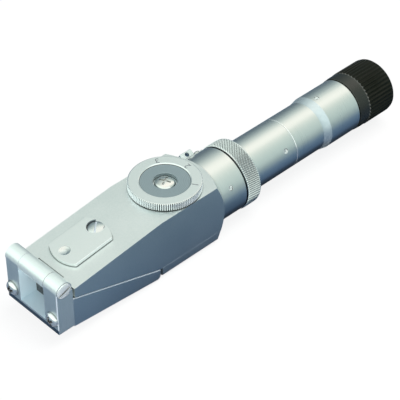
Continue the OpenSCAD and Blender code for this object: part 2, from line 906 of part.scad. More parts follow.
module frame_screws() {
    color("gainsboro")
        at_frame_screws() {
            translate([0, 0, -frame_depth])
                cylinder(d = frame_screw_d, h = frame_depth + frame_screw_grip);
            translate([0, 0, -frame_depth - frame_screw_head_h])
                cylinder(d = frame_screw_head_d, h = frame_screw_head_h);
        }
}

// Hinge frame, a U with the two outer knuckles and the light window
module frame_outline() {
    polygon([
        [frame_front_x, -box_front_drop],
        [frame_rear_x, -box_front_drop],
        [frame_rear_x, hinge_h - barrel_d / 4],
        [hinge_x, hinge_h],
        [frame_front_x, hinge_h]
    ]);
}

module hinge_frame() {
    color("slategray")
        difference() {
            union() {
                intersection() {
                    across(head_w)
                        frame_outline();
                    frame_edges();
                }
                hinge_bar(barrel_d / 2, -head_w / 2, head_w / 2);
            }
            translate([frame_front_x - over, -window_w / 2, axis_z - sill_drop])
                cube([frame_depth + 2 * over, window_w, sill_drop + hinge_h + barrel_d]);
            hinge_bar(pin_d / 2 + fit, -head_w, head_w);
            at_frame_screws()
                translate([0, 0, -frame_depth - over])
                    cylinder(d = frame_screw_d + 2 * fit, h = frame_depth + 2 * over);
        }
}

// The frame's front view with rounded lower corners, as the solid that stays
module frame_edges() {
    half_w = head_w / 2;
    translate([frame_front_x - over, 0, axis_z])
        rotate([90, 0, 90])
            linear_extrude(frame_depth + 2 * over)
                union() {
                    translate([-half_w, frame_edge_r - box_front_drop])
                        square([head_w, box_front_drop + hinge_h + barrel_d]);
                    translate([frame_edge_r - half_w, -box_front_drop])
                        square([head_w - 2 * frame_edge_r, box_front_drop]);
                    for (side = [-1, 1])
                        translate([side * (half_w - frame_edge_r), frame_edge_r - box_front_drop])
                            circle(frame_edge_r);
                }
}

// Hinge pin with its slotted head on the near side
pin_slot_w = 0.9;
pin_slot_t = 0.4;

module hinge_pin() {
    head_y = -head_w / 2 - pin_head_h;
    color("gainsboro")
        difference() {
            union() {
                hinge_bar(pin_d / 2, -head_w / 2 - pin_slot_t, head_w / 2);
                hinge_bar(pin_head_d / 2, head_y, -head_w / 2);
            }
            translate([hinge_x - pin_head_d / 2, head_y - over, axis_z + hinge_h - pin_slot_w / 2])
                cube([pin_head_d, pin_slot_t + over, pin_slot_w]);
        }
}

// Illuminating prism in the box, with its upper face on the parting plane
module illuminating_prism() {
    color("lightcyan")
        across(lighting_prism_w)
            lighting_outline(lighting_prism_x, lighting_prism_end_x, 0);
}

// Spring-steel keeper behind the illuminating prism
module prism_keeper() {
    color("gray")
        across(lighting_prism_w)
            lighting_outline(lighting_prism_end_x + fit, lighting_prism_end_x + keeper_t, -keeper_t);
}

// Dial ring with its web, and the track of the detent ball on its underside
module dial_ring() {
    color("silver")
        translate([0, 0, axis_z + dial_under_h])
            difference() {
                cylinder(d = dial_d, h = dial_face_h - dial_under_h);
                translate([0, 0, dial_web_t])
                    cylinder(d = dial_recess_d, h = dial_face_h);
                translate([0, 0, -over])
                    cylinder(d = dial_bolt_d + 2 * fit, h = dial_face_h);
                translate([0, 0, -over])
                    difference() {
                        cylinder(r = detent_r + detent_track_w / 2, h = detent_track_t + over);
                        translate([0, 0, -over])
                            cylinder(r = detent_r - detent_track_w / 2, h = detent_track_t + 3 * over);
                    }
            }
}

dial_bolt_d = 3;
dial_bolt_len = 5;

module dial_disc() {
    color("slategray")
        translate([0, 0, axis_z + web_top_h])
            difference() {
                cylinder(d = dial_recess_d - 2 * fit, h = disc_top_h - web_top_h);
                translate([0, 0, -over])
                    cylinder(d = disc_hole_d, h = dial_face_h);
            }
}

// Domed screw that holds the dial on its spindle
module dial_screw() {
    dome_r = (dial_screw_d * dial_screw_d / 4 + dial_screw_h * dial_screw_h) / (2 * dial_screw_h);
    color("gainsboro")
        translate([0, 0, axis_z + web_top_h]) {
            intersection() {
                cylinder(d = dial_screw_d, h = dial_screw_h);
                translate([0, 0, dial_screw_h - dome_r])
                    sphere(r = dome_r);
            }
            translate([0, 0, -dial_bolt_len])
                cylinder(d = dial_bolt_d, h = dial_bolt_len);
        }
}

module range_spindle() {
    color("goldenrod")
        translate([0, 0, axis_z + drum_half_h])
            difference() {
                cylinder(d = spindle_d, h = dial_under_h - drum_half_h);
                translate([0, 0, web_top_h - dial_bolt_len - drum_half_h - fit])
                    cylinder(d = dial_bolt_d + 2 * fit, h = dial_bolt_len + over);
            }
}

// Drum with three crossing light channels, one for each range
module range_drum() {
    color("dimgray")
        difference() {
            union() {
                translate([0, 0, axis_z - drum_half_h])
                    cylinder(d = drum_d, h = 2 * drum_half_h);
                translate([0, 0, axis_z + foot_top_h - drum_pivot_len])
                    cylinder(d = drum_pivot_d, h = drum_pivot_len + drum_half_h);
            }
            for (k = [-1 : 1])
                rotate([0, 0, k * dial_step])
                    turned(-drum_d, drum_d, channel_d / 2);
        }
}

// Three range wedges, each in the rear end of its own channel
module range_wedges() {
    wedge_x = drum_d / 2 - wedge_t - glass_play;
    thin_share = 0.55;
    r = channel_d / 2 - fit;
    color("lightcyan")
        for (k = [-1 : 1])
            rotate([0, 0, k * dial_step])
                intersection() {
                    turned(wedge_x, wedge_x + wedge_t, r);
                    across(channel_d)
                        polygon([
                            [wedge_x, -r],
                            [wedge_x + wedge_t, -r],
                            [wedge_x + wedge_t * thin_share, r],
                            [wedge_x, r]
                        ]);
                }
}

// Compensator ring with its two chamfers, running on the front tube
module compensator_ring() {
    bore_r = tube_d / 2 + run;
    color("silver")
        difference() {
            turned_profile([
                [bore_r, ring_x],
                [ring_d / 2 - ring_chamfer_h, ring_x],
                [ring_d / 2, ring_x + ring_chamfer],
                [ring_d / 2, ring_end_x - ring_chamfer],
                [ring_d / 2 - ring_chamfer_h, ring_end_x],
                [bore_r, ring_end_x]
            ]);
            outward(key_x, 180)
                cylinder(d = key_d + 2 * fit, h = ring_d);
        }
}

key_sink = 0.6;
key_depth = 2;

module compensator_key() {
    color("gray")
        outward(key_x, 180)
            translate([0, 0, tube_bore_d / 2 - key_depth])
                cylinder(d = key_d, h = ring_d / 2 - key_sink - tube_bore_d / 2 + key_depth);
}

// Rotating cell of the compensator prism, inside the front tube
amici_cell_wall = 2.6;
amici_corner_gap = 0.38;
amici_bore_r = tube_bore_d / 2 - run - amici_cell_wall;
amici_side = (amici_bore_r - amici_corner_gap) * sqrt(2);

module amici_cell() {
    r_out = tube_bore_d / 2 - run;
    x0 = key_x - amici_cell_len / 2;
    color("dimgray")
        difference() {
            turned(x0, x0 + amici_cell_len, r_out, amici_bore_r);
            outward(key_x, 180)
                cylinder(d = key_d + 2 * fit, h = ring_d);
        }
}

module amici_prism() {
    color("lightcyan")
        translate([key_x - amici_len / 2, -amici_side / 2, axis_z - amici_side / 2])
            cube([amici_len, amici_side, amici_side]);
}

// Ocular cell, the sliding inner tube of the eyepiece
ocular_x = cone_x + travel_in + 2 * fit;
ocular_wall = 1.35;
flange_t = 2;
ocular_neck_step = 1.4;
ocular_neck_d = rear_bore_d - 2 * ocular_neck_step;
ocular_neck_wall = 1.3;
ocular_neck_len = 3.8;
flange_inset = 6.8;
flange_x = eye_end_x - flange_inset;
field_lens_t = 3.2;
field_ring_len = 1.6;
field_lens_x = ocular_x + field_ring_len;
eye_lens_t = 4;
eye_lens_lip = 0.8;

module ocular_cell() {
    body_r = rear_bore_d / 2 - run;
    neck_r = ocular_neck_d / 2;
    body_end_x = flange_x - fit;
    slot_len = travel_in + travel_out + set_screw_d + 2 * fit;
    color("dimgray")
        difference() {
            turned_profile([
                [body_r - ocular_wall, ocular_x],
                [body_r, ocular_x],
                [body_r, body_end_x],
                [neck_r, body_end_x],
                [neck_r, body_end_x + ocular_neck_len],
                [neck_r - ocular_neck_wall - eye_lens_lip, body_end_x + ocular_neck_len],
                [neck_r - ocular_neck_wall - eye_lens_lip, body_end_x + ocular_neck_len - eye_lens_lip],
                [neck_r - ocular_neck_wall, body_end_x + ocular_neck_len - eye_lens_lip],
                [neck_r - ocular_neck_wall, body_end_x - 2 * ocular_wall],
                [body_r - ocular_wall, body_end_x - 2 * ocular_wall]
            ]);
            translate([guide_screw_x - travel_out - set_screw_d / 2 - fit, -set_screw_d / 2 - fit,
                       axis_z + body_r - guide_tip - 2 * fit])
                cube([slot_len, set_screw_d + 2 * fit, guide_tip + over]);
        }
}

module field_lens() {
    color("lightcyan")
        lens(field_lens_x, rear_bore_d / 2 - run - ocular_wall - fit, field_lens_t, lens_bulge);
}

// Threaded ring that holds the field lens
module field_lens_ring() {
    r_out = rear_bore_d / 2 - run - ocular_wall - fit;
    color("dimgray")
        turned(ocular_x, field_lens_x, r_out, r_out - cell_wall);
}

module eye_lens() {
    lens_r = ocular_neck_d / 2 - ocular_neck_wall - fit;
    x1 = flange_x - fit + ocular_neck_len - eye_lens_lip - fit;
    color("lightcyan")
        lens(x1 - eye_lens_t, lens_r, eye_lens_t, lens_bulge);
}

// Retaining ring that holds the dioptre ring on the ocular cell
retainer_wall = 1;
retainer_len = 1.3;

module ocular_retainer() {
    x0 = flange_x + flange_t + fit;
    color("gray")
        turned(x0, x0 + retainer_len, ocular_neck_d / 2 + retainer_wall, ocular_neck_d / 2 + fit);
}

// Dioptre ring, the ribbed black ring of the eyepiece
skirt_lip = 0.25;
flare_len = 1.9;
band_len = 4;
rib_len = 13.4;
end_round = 2;
end_land = 0.2;
skirt_clear = 0.1;
rib_share = 0.5;

// Points of the ring's rounded rear edge
function eye_arc() = [
    for (a = [0 : 15 : 90])
        [eye_d / 2 - end_round_r * (1 - cos(a)), eye_end_x - end_round * (1 - sin(a))]
];

module dioptre_ring() {
    seat_r = rear_d / 2 - skirt_wall;
    tail_r = seat_r - skirt_step;
    step_x = rear_end_x + skirt_seat_len + travel_in + eye_gap - skirt_clear;
    rib_x = eye_x + flare_len + band_len;
    rim_r = eye_rim_d / 2;
    groove_w = PI * eye_d / rib_n * rib_share;
    color("#26282a")
        difference() {
            turned_profile(concat(
                [[seat_r + skirt_clear, step_x],
                 [seat_r + skirt_clear, eye_x],
                 [rear_d / 2 + skirt_lip, eye_x],
                 [eye_d / 2 - rib_t / 2, eye_x + flare_len],
                 [eye_d / 2 - rib_t / 2, rib_x],
                 [eye_d / 2, rib_x]],
                eye_arc(),
                [[rim_r + fit, eye_end_x],
                 [rim_r + fit, eye_end_x - eye_rim_len],
                 [retainer_bore_r, eye_end_x - eye_rim_len],
                 [retainer_bore_r, flange_x + flange_t],
                 [ocular_neck_d / 2 + run, flange_x + flange_t],
                 [ocular_neck_d / 2 + run, flange_x],
                 [tail_r + skirt_clear, flange_x],
                 [tail_r + skirt_clear, step_x]]
            ));
            for (k = [0 : rib_n - 1])
                on_axis(rib_x)
                    rotate([0, 0, k * 360 / rib_n])
                        translate([eye_d / 2 - rib_t, -groove_w / 2, 0])
                            cube([eye_d, groove_w, rib_len]);
        }
}

// Soft rim around the eye lens
eye_rim_inset = 1.85;
eye_rim_len = 3;
eye_rim_wall = 1.5;
eye_hole_wall = 3.25;
end_round_r = eye_rim_inset - fit - end_land;
eye_rim_d = eye_d - 2 * eye_rim_inset;
eye_mouth_d = eye_rim_d - 2 * eye_rim_wall;
eye_hole_d = eye_rim_d - 2 * eye_hole_wall;
retainer_bore_r = ocular_neck_d / 2 + retainer_wall + fit;

module eye_rim() {
    color("#1b1c1d")
        turned_profile([
            [eye_hole_d / 2, eye_end_x - eye_rim_len],
            [eye_rim_d / 2, eye_end_x - eye_rim_len],
            [eye_rim_d / 2, eye_end_x],
            [eye_mouth_d / 2, eye_end_x]
        ]);
}

// Scale cover, a plate with two rounded ends that turns about its pivot screw
module cover_outline() {
    half_w = cover_w / 2;
    half_l = cover_side_len / 2 + cover_bulge;
    end_r = (half_w * half_w + cover_bulge * cover_bulge) / (2 * cover_bulge);
    intersection() {
        translate([-half_l, -half_w])
            square([2 * half_l, cover_w]);
        translate([half_l - end_r, 0])
            circle(end_r);
        translate([end_r - half_l, 0])
            circle(end_r);
    }
}

module scale_cover() {
    dimple_r = (dimple_d * dimple_d / 4 + dimple_t * dimple_t) / (2 * dimple_t);
    color("gainsboro")
        on_slope(pivot_x, pivot_y)
            difference() {
                translate([-pivot_reach / cos(slope_angle), -pivot_off, cover_lift])
                    linear_extrude(cover_t)
                        cover_outline();
                translate([0, 0, cover_lift + cover_t - pivot_bore_t])
                    cylinder(d = pivot_bore_d, h = cover_t);
                cylinder(d = pivot_screw_d + 2 * run, h = 2 * cover_t);
                translate([-dimple_reach, -dimple_off, cover_lift + cover_t - dimple_t + dimple_r])
                    sphere(r = dimple_r);
            }
}

// Adjusting screw of the scale, in the roof under the cover
adjust_slot_w = 0.8;
adjust_slot_t = 0.6;
adjust_sink = 0.4;
adjust_foot = 0.3;

module adjusting_screw() {
    top_z = -adjust_sink;
    foot_z = -(roof_t + packing_t) * cos(slope_angle) + adjust_foot;
    color("goldenrod")
        on_slope(adjust_x, adjust_y)
            difference() {
                translate([0, 0, foot_z])
                    cylinder(d = adjust_d, h = top_z - foot_z);
                translate([-adjust_d, -adjust_slot_w / 2, top_z - adjust_slot_t])
                    cube([2 * adjust_d, adjust_slot_w, adjust_slot_t + over]);
            }
}

head_casting();
foot_cover();
foot_screws();
refracting_prism();
prism_packing();
spindle_bush();
detent_ball();
detent_spring();
neck_sleeve();
strap_lug();
strap_screw();
front_tube();
objective_cell();
objective_lens();
tube_set_screws();
reticle_cell();
scale_reticle();
rear_tube();
guide_screw();
cover_pivot_screw();
prism_box();
hinge_frame();
frame_screws();
hinge_pin();
illuminating_prism();
prism_keeper();
dial_ring();
dial_disc();
dial_screw();
range_spindle();
range_drum();
range_wedges();
compensator_ring();
compensator_key();
amici_cell();
amici_prism();
ocular_cell();
field_lens();
field_lens_ring();
eye_lens();
ocular_retainer();
dioptre_ring();
eye_rim();
scale_cover();
adjusting_screw();
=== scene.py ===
# %% [markdown]
# # A hand-held brix refractometer
# This lesson dresses a finished mechanical model: the instrument's solids come from a frame that is
# already exact, and Blender adds what a solid model leaves out, such as knurls, ribs, screw recesses,
# soft edges and finishes. Every piece stays where the frame has it, so the joints keep working.

# %% Load the frame
import math

import bmesh
import bpy
from mathutils import Matrix, Quaternion, Vector


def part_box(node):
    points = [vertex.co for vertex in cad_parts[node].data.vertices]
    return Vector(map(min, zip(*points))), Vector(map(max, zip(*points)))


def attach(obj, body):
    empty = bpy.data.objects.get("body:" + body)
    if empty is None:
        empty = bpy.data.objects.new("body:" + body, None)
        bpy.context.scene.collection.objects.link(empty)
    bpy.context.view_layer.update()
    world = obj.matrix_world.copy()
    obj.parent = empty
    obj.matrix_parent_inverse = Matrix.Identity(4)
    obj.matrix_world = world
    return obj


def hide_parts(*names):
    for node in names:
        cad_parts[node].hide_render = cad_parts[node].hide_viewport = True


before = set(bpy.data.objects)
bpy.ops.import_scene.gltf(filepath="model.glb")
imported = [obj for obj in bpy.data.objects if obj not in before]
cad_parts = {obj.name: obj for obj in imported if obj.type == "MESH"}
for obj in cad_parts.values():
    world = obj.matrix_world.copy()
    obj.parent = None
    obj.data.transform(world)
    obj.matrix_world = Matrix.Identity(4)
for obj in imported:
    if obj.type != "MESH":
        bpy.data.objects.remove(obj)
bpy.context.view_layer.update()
MM = 0.001
print("nodes in the frame:", len(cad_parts))

# %% [markdown]
# ## The camera
# The photograph looks down on the instrument from its front left, with a long lens. A camera can be
# aimed by eye, but here its place was worked out from edges that are parallel on the object. The lens
# is long, about 148 mm, and a small shift moves the picture the way a shift lens does, without
# turning the camera.

# %% Aim the camera
camera_data = bpy.data.cameras.new("photo_camera")
camera_data.sensor_width = 36.0
camera_data.lens = 147.98
camera_data.shift_x = -0.02317
camera_data.shift_y = -0.0706
camera_data.clip_start = 0.01
camera = bpy.data.objects.new("photo_camera", camera_data)
bpy.context.scene.collection.objects.link(camera)
bpy.context.scene.camera = camera

azimuth = math.radians(-44.194)
elevation = math.radians(40.055)
roll = math.radians(0.195)
camera_spot = (-0.32455, -0.35833, 0.44162)
towards_camera = Vector((
    math.cos(elevation) * math.sin(azimuth),
    -math.cos(elevation) * math.cos(azimuth),
    math.sin(elevation),
))
turn = towards_camera.to_track_quat("Z", "Y") @ Quaternion((0, 0, 1), roll)
camera.matrix_world = Matrix.Translation(camera_spot) @ turn.to_matrix().to_4x4()
print("camera looks along", [round(v, 3) for v in -towards_camera])

# %% [markdown]
# ## Shader maths as Python
# A finish is a small sum: a base roughness plus some grain, a colour times a mask. Wiring that by
# hand takes many lines, so one class wraps a socket and turns +, -, * and / into Math nodes. Every
# other node comes from one method, which takes the node's type, its settings and its sockets.

# %% The expression class and the one node method
class Wire:
    """A value in a node tree. Each operator adds one Math node."""

    def __init__(self, look, socket):
        self.look = look
        self.socket = socket

    def math(self, operation, *values):
        return self.look.node("ShaderNodeMath", {"operation": operation}, dict(enumerate(values)))

    def __add__(self, other):
        return self.math("ADD", self, other)

    def __radd__(self, other):
        return self.math("ADD", other, self)

    def __sub__(self, other):
        return self.math("SUBTRACT", self, other)

    def __rsub__(self, other):
        return self.math("SUBTRACT", other, self)

    def __mul__(self, other):
        return self.math("MULTIPLY", self, other)

    def __rmul__(self, other):
        return self.math("MULTIPLY", other, self)

    def __truediv__(self, other):
        return self.math("DIVIDE", self, other)


class Look:
    """One material, world or lamp tree that nodes are added to."""

    def __init__(self, owner):
        owner.use_nodes = True
        self.owner = owner
        self.tree = owner.node_tree
        self.tree.nodes.clear()

    def node(self, kind, settings=None, sockets=None, out=0):
        """Adds a node: first its settings, then the values or links of its sockets."""
        made = self.tree.nodes.new(kind)
        for key, value in (settings or {}).items():
            if key == "stops":
                ramp = made.color_ramp
                while len(ramp.elements) < len(value):
                    ramp.elements.new(0.5)
                for stop, (position, colour) in zip(ramp.elements, value):
                    stop.position = position
                    stop.color = colour
            else:
                setattr(made, key, value)
        for key, value in (sockets or {}).items():
            target = made.inputs[key]
            if isinstance(value, Wire):
                self.tree.links.new(value.socket, target)
            else:
                target.default_value = value
        if not made.outputs:
            return made
        return Wire(self, made.outputs[out])


def rgb(red, green, blue):
    """A colour with full alpha, in linear light."""
    return (red, green, blue, 1.0)


def toned(colour, factor, lift=0.0):
    """A colour made paler or darker by a factor, none of it above 1."""
    return rgb(*(min(1.0, c * factor + lift) for c in colour))


# %% [markdown]
# ## Grain and edges
# Turned and blasted metal is never one flat tone. A picture of metal could be wrapped round it, but
# noise that is worked out in the shader fits any shape and has no seams. Three helpers serve the
# finishes. `grain` reads noise in the object's own coordinates, so it stays put when a joint moves.
# `edge_mask` compares the true normal with a rounded one, which is bright only along edges, where
# handling wears a finish. The third helper finds the narrow grooves and gaps and paints shade into them.

# %% Grain and edge helpers
def clamped(value):
    """Keeps a wire's value from 0 to 1."""
    return value.look.node("ShaderNodeClamp", {}, {"Value": value})


def grain(look, scale, stretch=(1, 1, 1), detail=3.0):
    """Noise in object coordinates, as a value from 0 to 1."""
    where = look.node("ShaderNodeTexCoord", out="Object")
    mapped = look.node("ShaderNodeMapping", {}, {"Vector": where, "Scale": stretch})
    settings = {"noise_dimensions": "3D"}
    sockets = {"Vector": mapped, "Scale": scale, "Detail": detail, "Roughness": 0.6}
    return look.node("ShaderNodeTexNoise", settings, sockets)


def edge_mask(look, radius, gain=5.0):
    """Bright where an edge turns within this radius, dark on flat and gently curved faces."""
    rounded = look.node("ShaderNodeBevel", {"samples": 4}, {"Radius": radius})
    unrounded = look.node("ShaderNodeNewGeometry", out="Normal")
    sockets = {0: rounded, 1: unrounded}
    along = look.node("ShaderNodeVectorMath", {"operation": "DOT_PRODUCT"}, sockets, out="Value")
    return clamped((1.0 - along) * gain)


def painted_crevice_shade(look, reach, cut=0.42, gain=1.9):
    """Painted shade: near 0 in grooves and gaps narrower than this reach, and 1 on open faces."""
    settings = {"samples": 8}
    open_share = look.node("ShaderNodeAmbientOcclusion", settings, {"Distance": reach}, out="AO")
    return clamped((open_share - cut) * gain)


def tinted(look, factor, low, high):
    """A colour between two colours, by a factor."""
    settings = {"data_type": "RGBA", "blend_type": "MIX"}
    return look.node("ShaderNodeMix", settings, {0: factor, 6: low, 7: high}, out=2)


def principled(look, sockets):
    """Ends a material in a Principled shader."""
    shader = look.node("ShaderNodeBsdfPrincipled", {}, sockets)
    look.node("ShaderNodeOutputMaterial", {}, {"Surface": shader})
    return look.owner


# %% [markdown]
# ## Metal finishes
# The body, the tubes and the frame are aluminium, and what tells them apart is the tool that left
# them: the head is finely blasted, the tubes are turned on a lathe, and the frame is brushed up and
# down. Each could have its own node tree, but one function makes them all, because only the stretch
# of the grain differs. Lines need a stretch that is long one way, and blasting needs none.

# %% Metal
def metal(name, colour, roughness, scale=900.0, stretch=(1, 1, 1), relief=0.00001,
          spread=0.12, metallic=1.0, worn=0.25, mottle=0.06, reach=0.0007, crevice_shade_tone=0.16, rings=0.0):
    """A bare metal. `relief` is its grain's height in metres, `spread` and `mottle` say how uneven its
    roughness and colour are, `worn` how much paler its edges are, `reach` and the tone after it how wide
    and how dark the painted shade in its grooves and gaps is, and `rings` how close its lathe marks are."""
    cloud_scale = 40.0
    edge_radius = 0.0003
    look = Look(bpy.data.materials.new(name))
    fine = grain(look, scale, stretch)
    cloud = grain(look, cloud_scale, detail=2.0)
    tone = fine * 0.5 + cloud * 0.5
    if rings:
        where = look.node("ShaderNodeTexCoord", out="Object")
        settings = {"wave_type": "RINGS", "rings_direction": "Z"}
        sockets = {"Vector": where, "Scale": rings, "Distortion": 1.0}
        cuts = look.node("ShaderNodeTexWave", settings, sockets)
        tone = tone * 0.5 + cuts * 0.5
    base = tinted(look, tone, toned(colour, 1 - mottle), toned(colour, 1 + mottle))
    handled = tinted(look, edge_mask(look, edge_radius), base, toned(colour, 1 + worn, 0.02))
    bump = look.node("ShaderNodeBump", {}, {"Strength": 0.5, "Distance": relief, "Height": fine})
    return principled(look, {
        # Painted shade darkens the colour in grooves and gaps.
        "Base Color": tinted(look, painted_crevice_shade(look, reach), toned(colour, crevice_shade_tone), handled),
        "Metallic": metallic,
        "Roughness": fine * spread + cloud * 0.06 + (roughness - spread / 2),
        "Normal": bump,
    })


ring_lines = (60, 0.6, 0.6)
drop_lines = (14, 14, 0.7)
blasted = metal("blasted_aluminium", (0.86, 0.93, 0.93), 0.38, 1300.0, mottle=0.16)
turned_metal = metal("turned_aluminium", (0.85, 0.86, 0.84), 0.27, 60.0, ring_lines)
brushed = metal("brushed_aluminium", (0.78, 0.87, 0.87), 0.36, 300.0, drop_lines, metallic=0.9, mottle=0.2)
satin = metal("satin_aluminium", (0.96, 1.0, 0.99), 0.3, reach=0.0004)
barrel_metal = metal("barrel_aluminium", (0.88, 0.96, 0.93), 0.38, metallic=0.75)
# A dark metal that paints shade on the frame's foot and on the wall of the cover's counterbore.
painted_shade_metal = metal("dark_frame_foot", (0.27, 0.31, 0.35), 0.4)
# The cone's faces get a painted reflection band: a bluer, less metallic copy of the turned aluminium.
cone_painted_band = metal("cone_aluminium", (0.66, 0.74, 0.77), 0.34, metallic=0.85)
knurled = metal("knurled_aluminium", (0.95, 1.0, 1.0), 0.24, reach=0.0006, crevice_shade_tone=0.2)
fluted_metal = metal("fluted_aluminium", (0.90, 0.99, 1.0), 0.24, metallic=0.6, reach=0.0004)
# Pale, less metallic faces that paint a highlight on bevels, corners and a slot.
painted_edge_highlight = metal("painted_edge_highlight", (0.64, 0.71, 0.76), 0.3, metallic=0.35, reach=0.0002)
# The compensator ring's front face is painted darker, as shade.
ring_face_painted_shade = metal("ring_face_painted_shade", (0.42, 0.48, 0.52), 0.35, reach=0.0015)
dial_metal = metal("dial_disc_metal", (0.42, 0.49, 0.53), 0.36, 900.0, mottle=0.2, rings=480.0)
bright_steel = metal("bright_steel", (0.92, 0.94, 0.94), 0.14, 500.0, metallic=0.85, reach=0.0012)
set_steel = metal("set_screw_steel", (0.92, 0.94, 0.94), 0.12, 500.0, metallic=0.8, reach=0.0003)
pivot_steel = metal("pivot_screw_steel", (0.80, 0.82, 0.81), 0.2, 500.0, metallic=1.0, reach=0.0004)
pin_steel = metal("pin_steel", (0.90, 0.94, 0.93), 0.16, 500.0, metallic=0.6, reach=0.0012)
polished = metal("polished_nickel", (0.86, 0.85, 0.82), 0.12, 400.0, relief=0.000002, spread=0.04)
dark_steel = metal("dark_steel", (0.22, 0.23, 0.25), 0.34, 500.0)
brass = metal("brass", (0.72, 0.55, 0.26), 0.32, 400.0, ring_lines)
print("metals:", len(bpy.data.materials))

# %% [markdown]
# ## Black, soft and clear finishes
# The eyepiece is black plastic with a soft sheen, its rim is matt rubber, and the cells inside are
# painted matt black so that no stray light reaches the eye. They differ in tone and shine alone, so
# one function serves them. Glass gets its look from transmission and from its refractive index, and
# the lower prism is frosted, because its ground face spreads the light.

# %% Plastic, rubber, paint and glass
def dull(name, colour, roughness, scale=600.0, relief=0.00002, lift=1.5, shine=0.5, reach=0.0006):
    """Plastic, rubber, paint or ink. `lift` says how much paler its edges are, and `shine` sets how
    strongly it mirrors. Its grooves and gaps get painted shade."""
    cloud_scale = 55.0
    edge_radius = 0.00035
    look = Look(bpy.data.materials.new(name))
    fine = grain(look, scale)
    cloud = grain(look, cloud_scale, detail=2.0)
    base = tinted(look, cloud, toned(colour, 0.85), rgb(*colour))
    handled = tinted(look, edge_mask(look, edge_radius) * 0.6, base, toned(colour, lift, 0.01))
    bump = look.node("ShaderNodeBump", {}, {"Strength": 0.6, "Distance": relief, "Height": fine})
    return principled(look, {
        # Painted shade darkens the colour in grooves and gaps.
        "Base Color": tinted(look, painted_crevice_shade(look, reach), toned(colour, 0.3), handled),
        "Specular IOR Level": shine,
        "Roughness": fine * 0.12 + (roughness - 0.06),
        "Normal": bump,
    })


def clear(name, colour, roughness, index):
    """Glass of a refractive index, with faint smears from cleaning."""
    smear_scale = 120.0
    look = Look(bpy.data.materials.new(name))
    smear = grain(look, smear_scale, detail=2.0)
    return principled(look, {
        "Base Color": rgb(*colour),
        "Roughness": smear * 0.03 + roughness,
        "IOR": index,
        "Transmission Weight": 0.92,
        "Coat Weight": 0.4,
        "Coat Roughness": 0.05,
    })


# Its edges are painted paler, as highlights along the ribs.
black_plastic = dull("eyepiece_black", (0.005, 0.006, 0.003), 0.3, lift=3.0, shine=0.15)
# The smooth band is glossier, and its colour is painted a little paler and warmer, as a sheen.
band_plastic = dull("eyepiece_band", (0.012, 0.013, 0.009), 0.24, shine=0.62)
rubber = dull("rim_rubber", (0.014, 0.014, 0.014), 0.72, 900.0, 0.00004, shine=0.3)
black_paint = dull("matt_black_paint", (0.022, 0.023, 0.025), 0.62)
# A paler, glossier ring that paints the glints where the ribs start.
rib_painted_glint = dull("eyepiece_rib_edge", (0.06, 0.06, 0.05), 0.2, shine=0.9)
window_white = dull("window_lining", (0.67, 0.82, 0.88), 0.45, 500.0, 0.00001, 1.02, reach=0.00003)
ink = dull("number_ink", (0.17, 0.19, 0.20), 0.6)
lens_glass = clear("lens_glass", (0.90, 0.95, 0.98), 0.01, 1.52)
prism_glass = clear("prism_glass", (0.86, 0.96, 0.94), 0.03, 1.70)
matt_glass = clear("lower_prism_glass", (0.50, 0.56, 0.56), 0.25, 1.30)
print("materials:", len(bpy.data.materials))

# %% [markdown]
# ## From a bmesh to a piece
# Each new piece is a bmesh that is turned into an object, given its finish, and set to ride on the
# body it belongs to. Where it stands for a solid of the frame, that solid is hidden. Curved faces are
# smooth and real edges stay sharp, and weighted normals keep the flat faces flat beside a bevel.

# %% Make a piece
def add_piece(name, bm, looks, body, nodes=(), smooth=35.0):
    """Makes a piece of a bmesh. Edges that turn by more than `smooth` degrees stay sharp."""
    mesh = bpy.data.meshes.new(name)
    bm.to_mesh(mesh)
    bm.free()
    for look in looks if isinstance(looks, (list, tuple)) else [looks]:
        mesh.materials.append(look)
    if smooth:
        mesh.shade_smooth()
        mesh.set_sharp_from_angle(angle=math.radians(smooth))
    piece = bpy.data.objects.new(name, mesh)
    bpy.context.scene.collection.objects.link(piece)
    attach(piece, body)
    if nodes:
        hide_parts(*nodes)
    return piece


def level_normals(piece):
    """Lets the large faces set the normals, so that they look flat beside a bevel."""
    weighted = piece.modifiers.new("flat_faces", "WEIGHTED_NORMAL")
    weighted.keep_sharp = True
    return piece


def box_in_mm(node):
    """The lowest and the highest corner of a node, in mm."""
    low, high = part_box(node)
    return low / MM, high / MM


def middle(node):
    """The middle of a node's box, in mm."""
    low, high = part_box(node)
    return (low + high) / 2 / MM


# %% [markdown]
# ## Soft edges on a solid
# No milled part has knife edges: a file or a tumbler breaks them, and the thin line of light along
# them is what makes metal look real. A Bevel modifier would treat all edges alike, so operators do it
# here. The solid's own mesh can't be changed, so a copy is merged, its flat faces are joined again,
# and the edges that turn sharply are bevelled.

# %% Copy a solid and break its edges
def merged_copy(node):
    """A copy of a solid's mesh, its loose triangles welded and its flat faces joined."""
    bm = bmesh.new()
    bm.from_mesh(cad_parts[node].data)
    bmesh.ops.remove_doubles(bm, verts=bm.verts, dist=0.002 * MM)
    bmesh.ops.dissolve_limit(bm, angle_limit=math.radians(0.6), verts=bm.verts, edges=bm.edges)
    return bm


def break_edges(bm, width, segments=2, angle=25.0, only=None, look=-1):
    """Bevels the edges that turn by more than an angle, or those of them that `only` picks."""
    limit = math.radians(angle)
    sharp = [e for e in bm.edges if len(e.link_faces) == 2 and e.calc_face_angle(0) > limit]
    if only:
        sharp = [e for e in sharp if only(e)]
    bmesh.ops.bevel(bm, geom=sharp, offset=width, offset_type="OFFSET", segments=segments,
                    profile=0.5, affect="EDGES", clamp_overlap=True, material=look)
    return len(sharp)


def is_long(edge):
    """Long edges are broken first, because one short edge nearby would narrow the bevel of them all."""
    return edge.calc_length() > 1.2 * MM


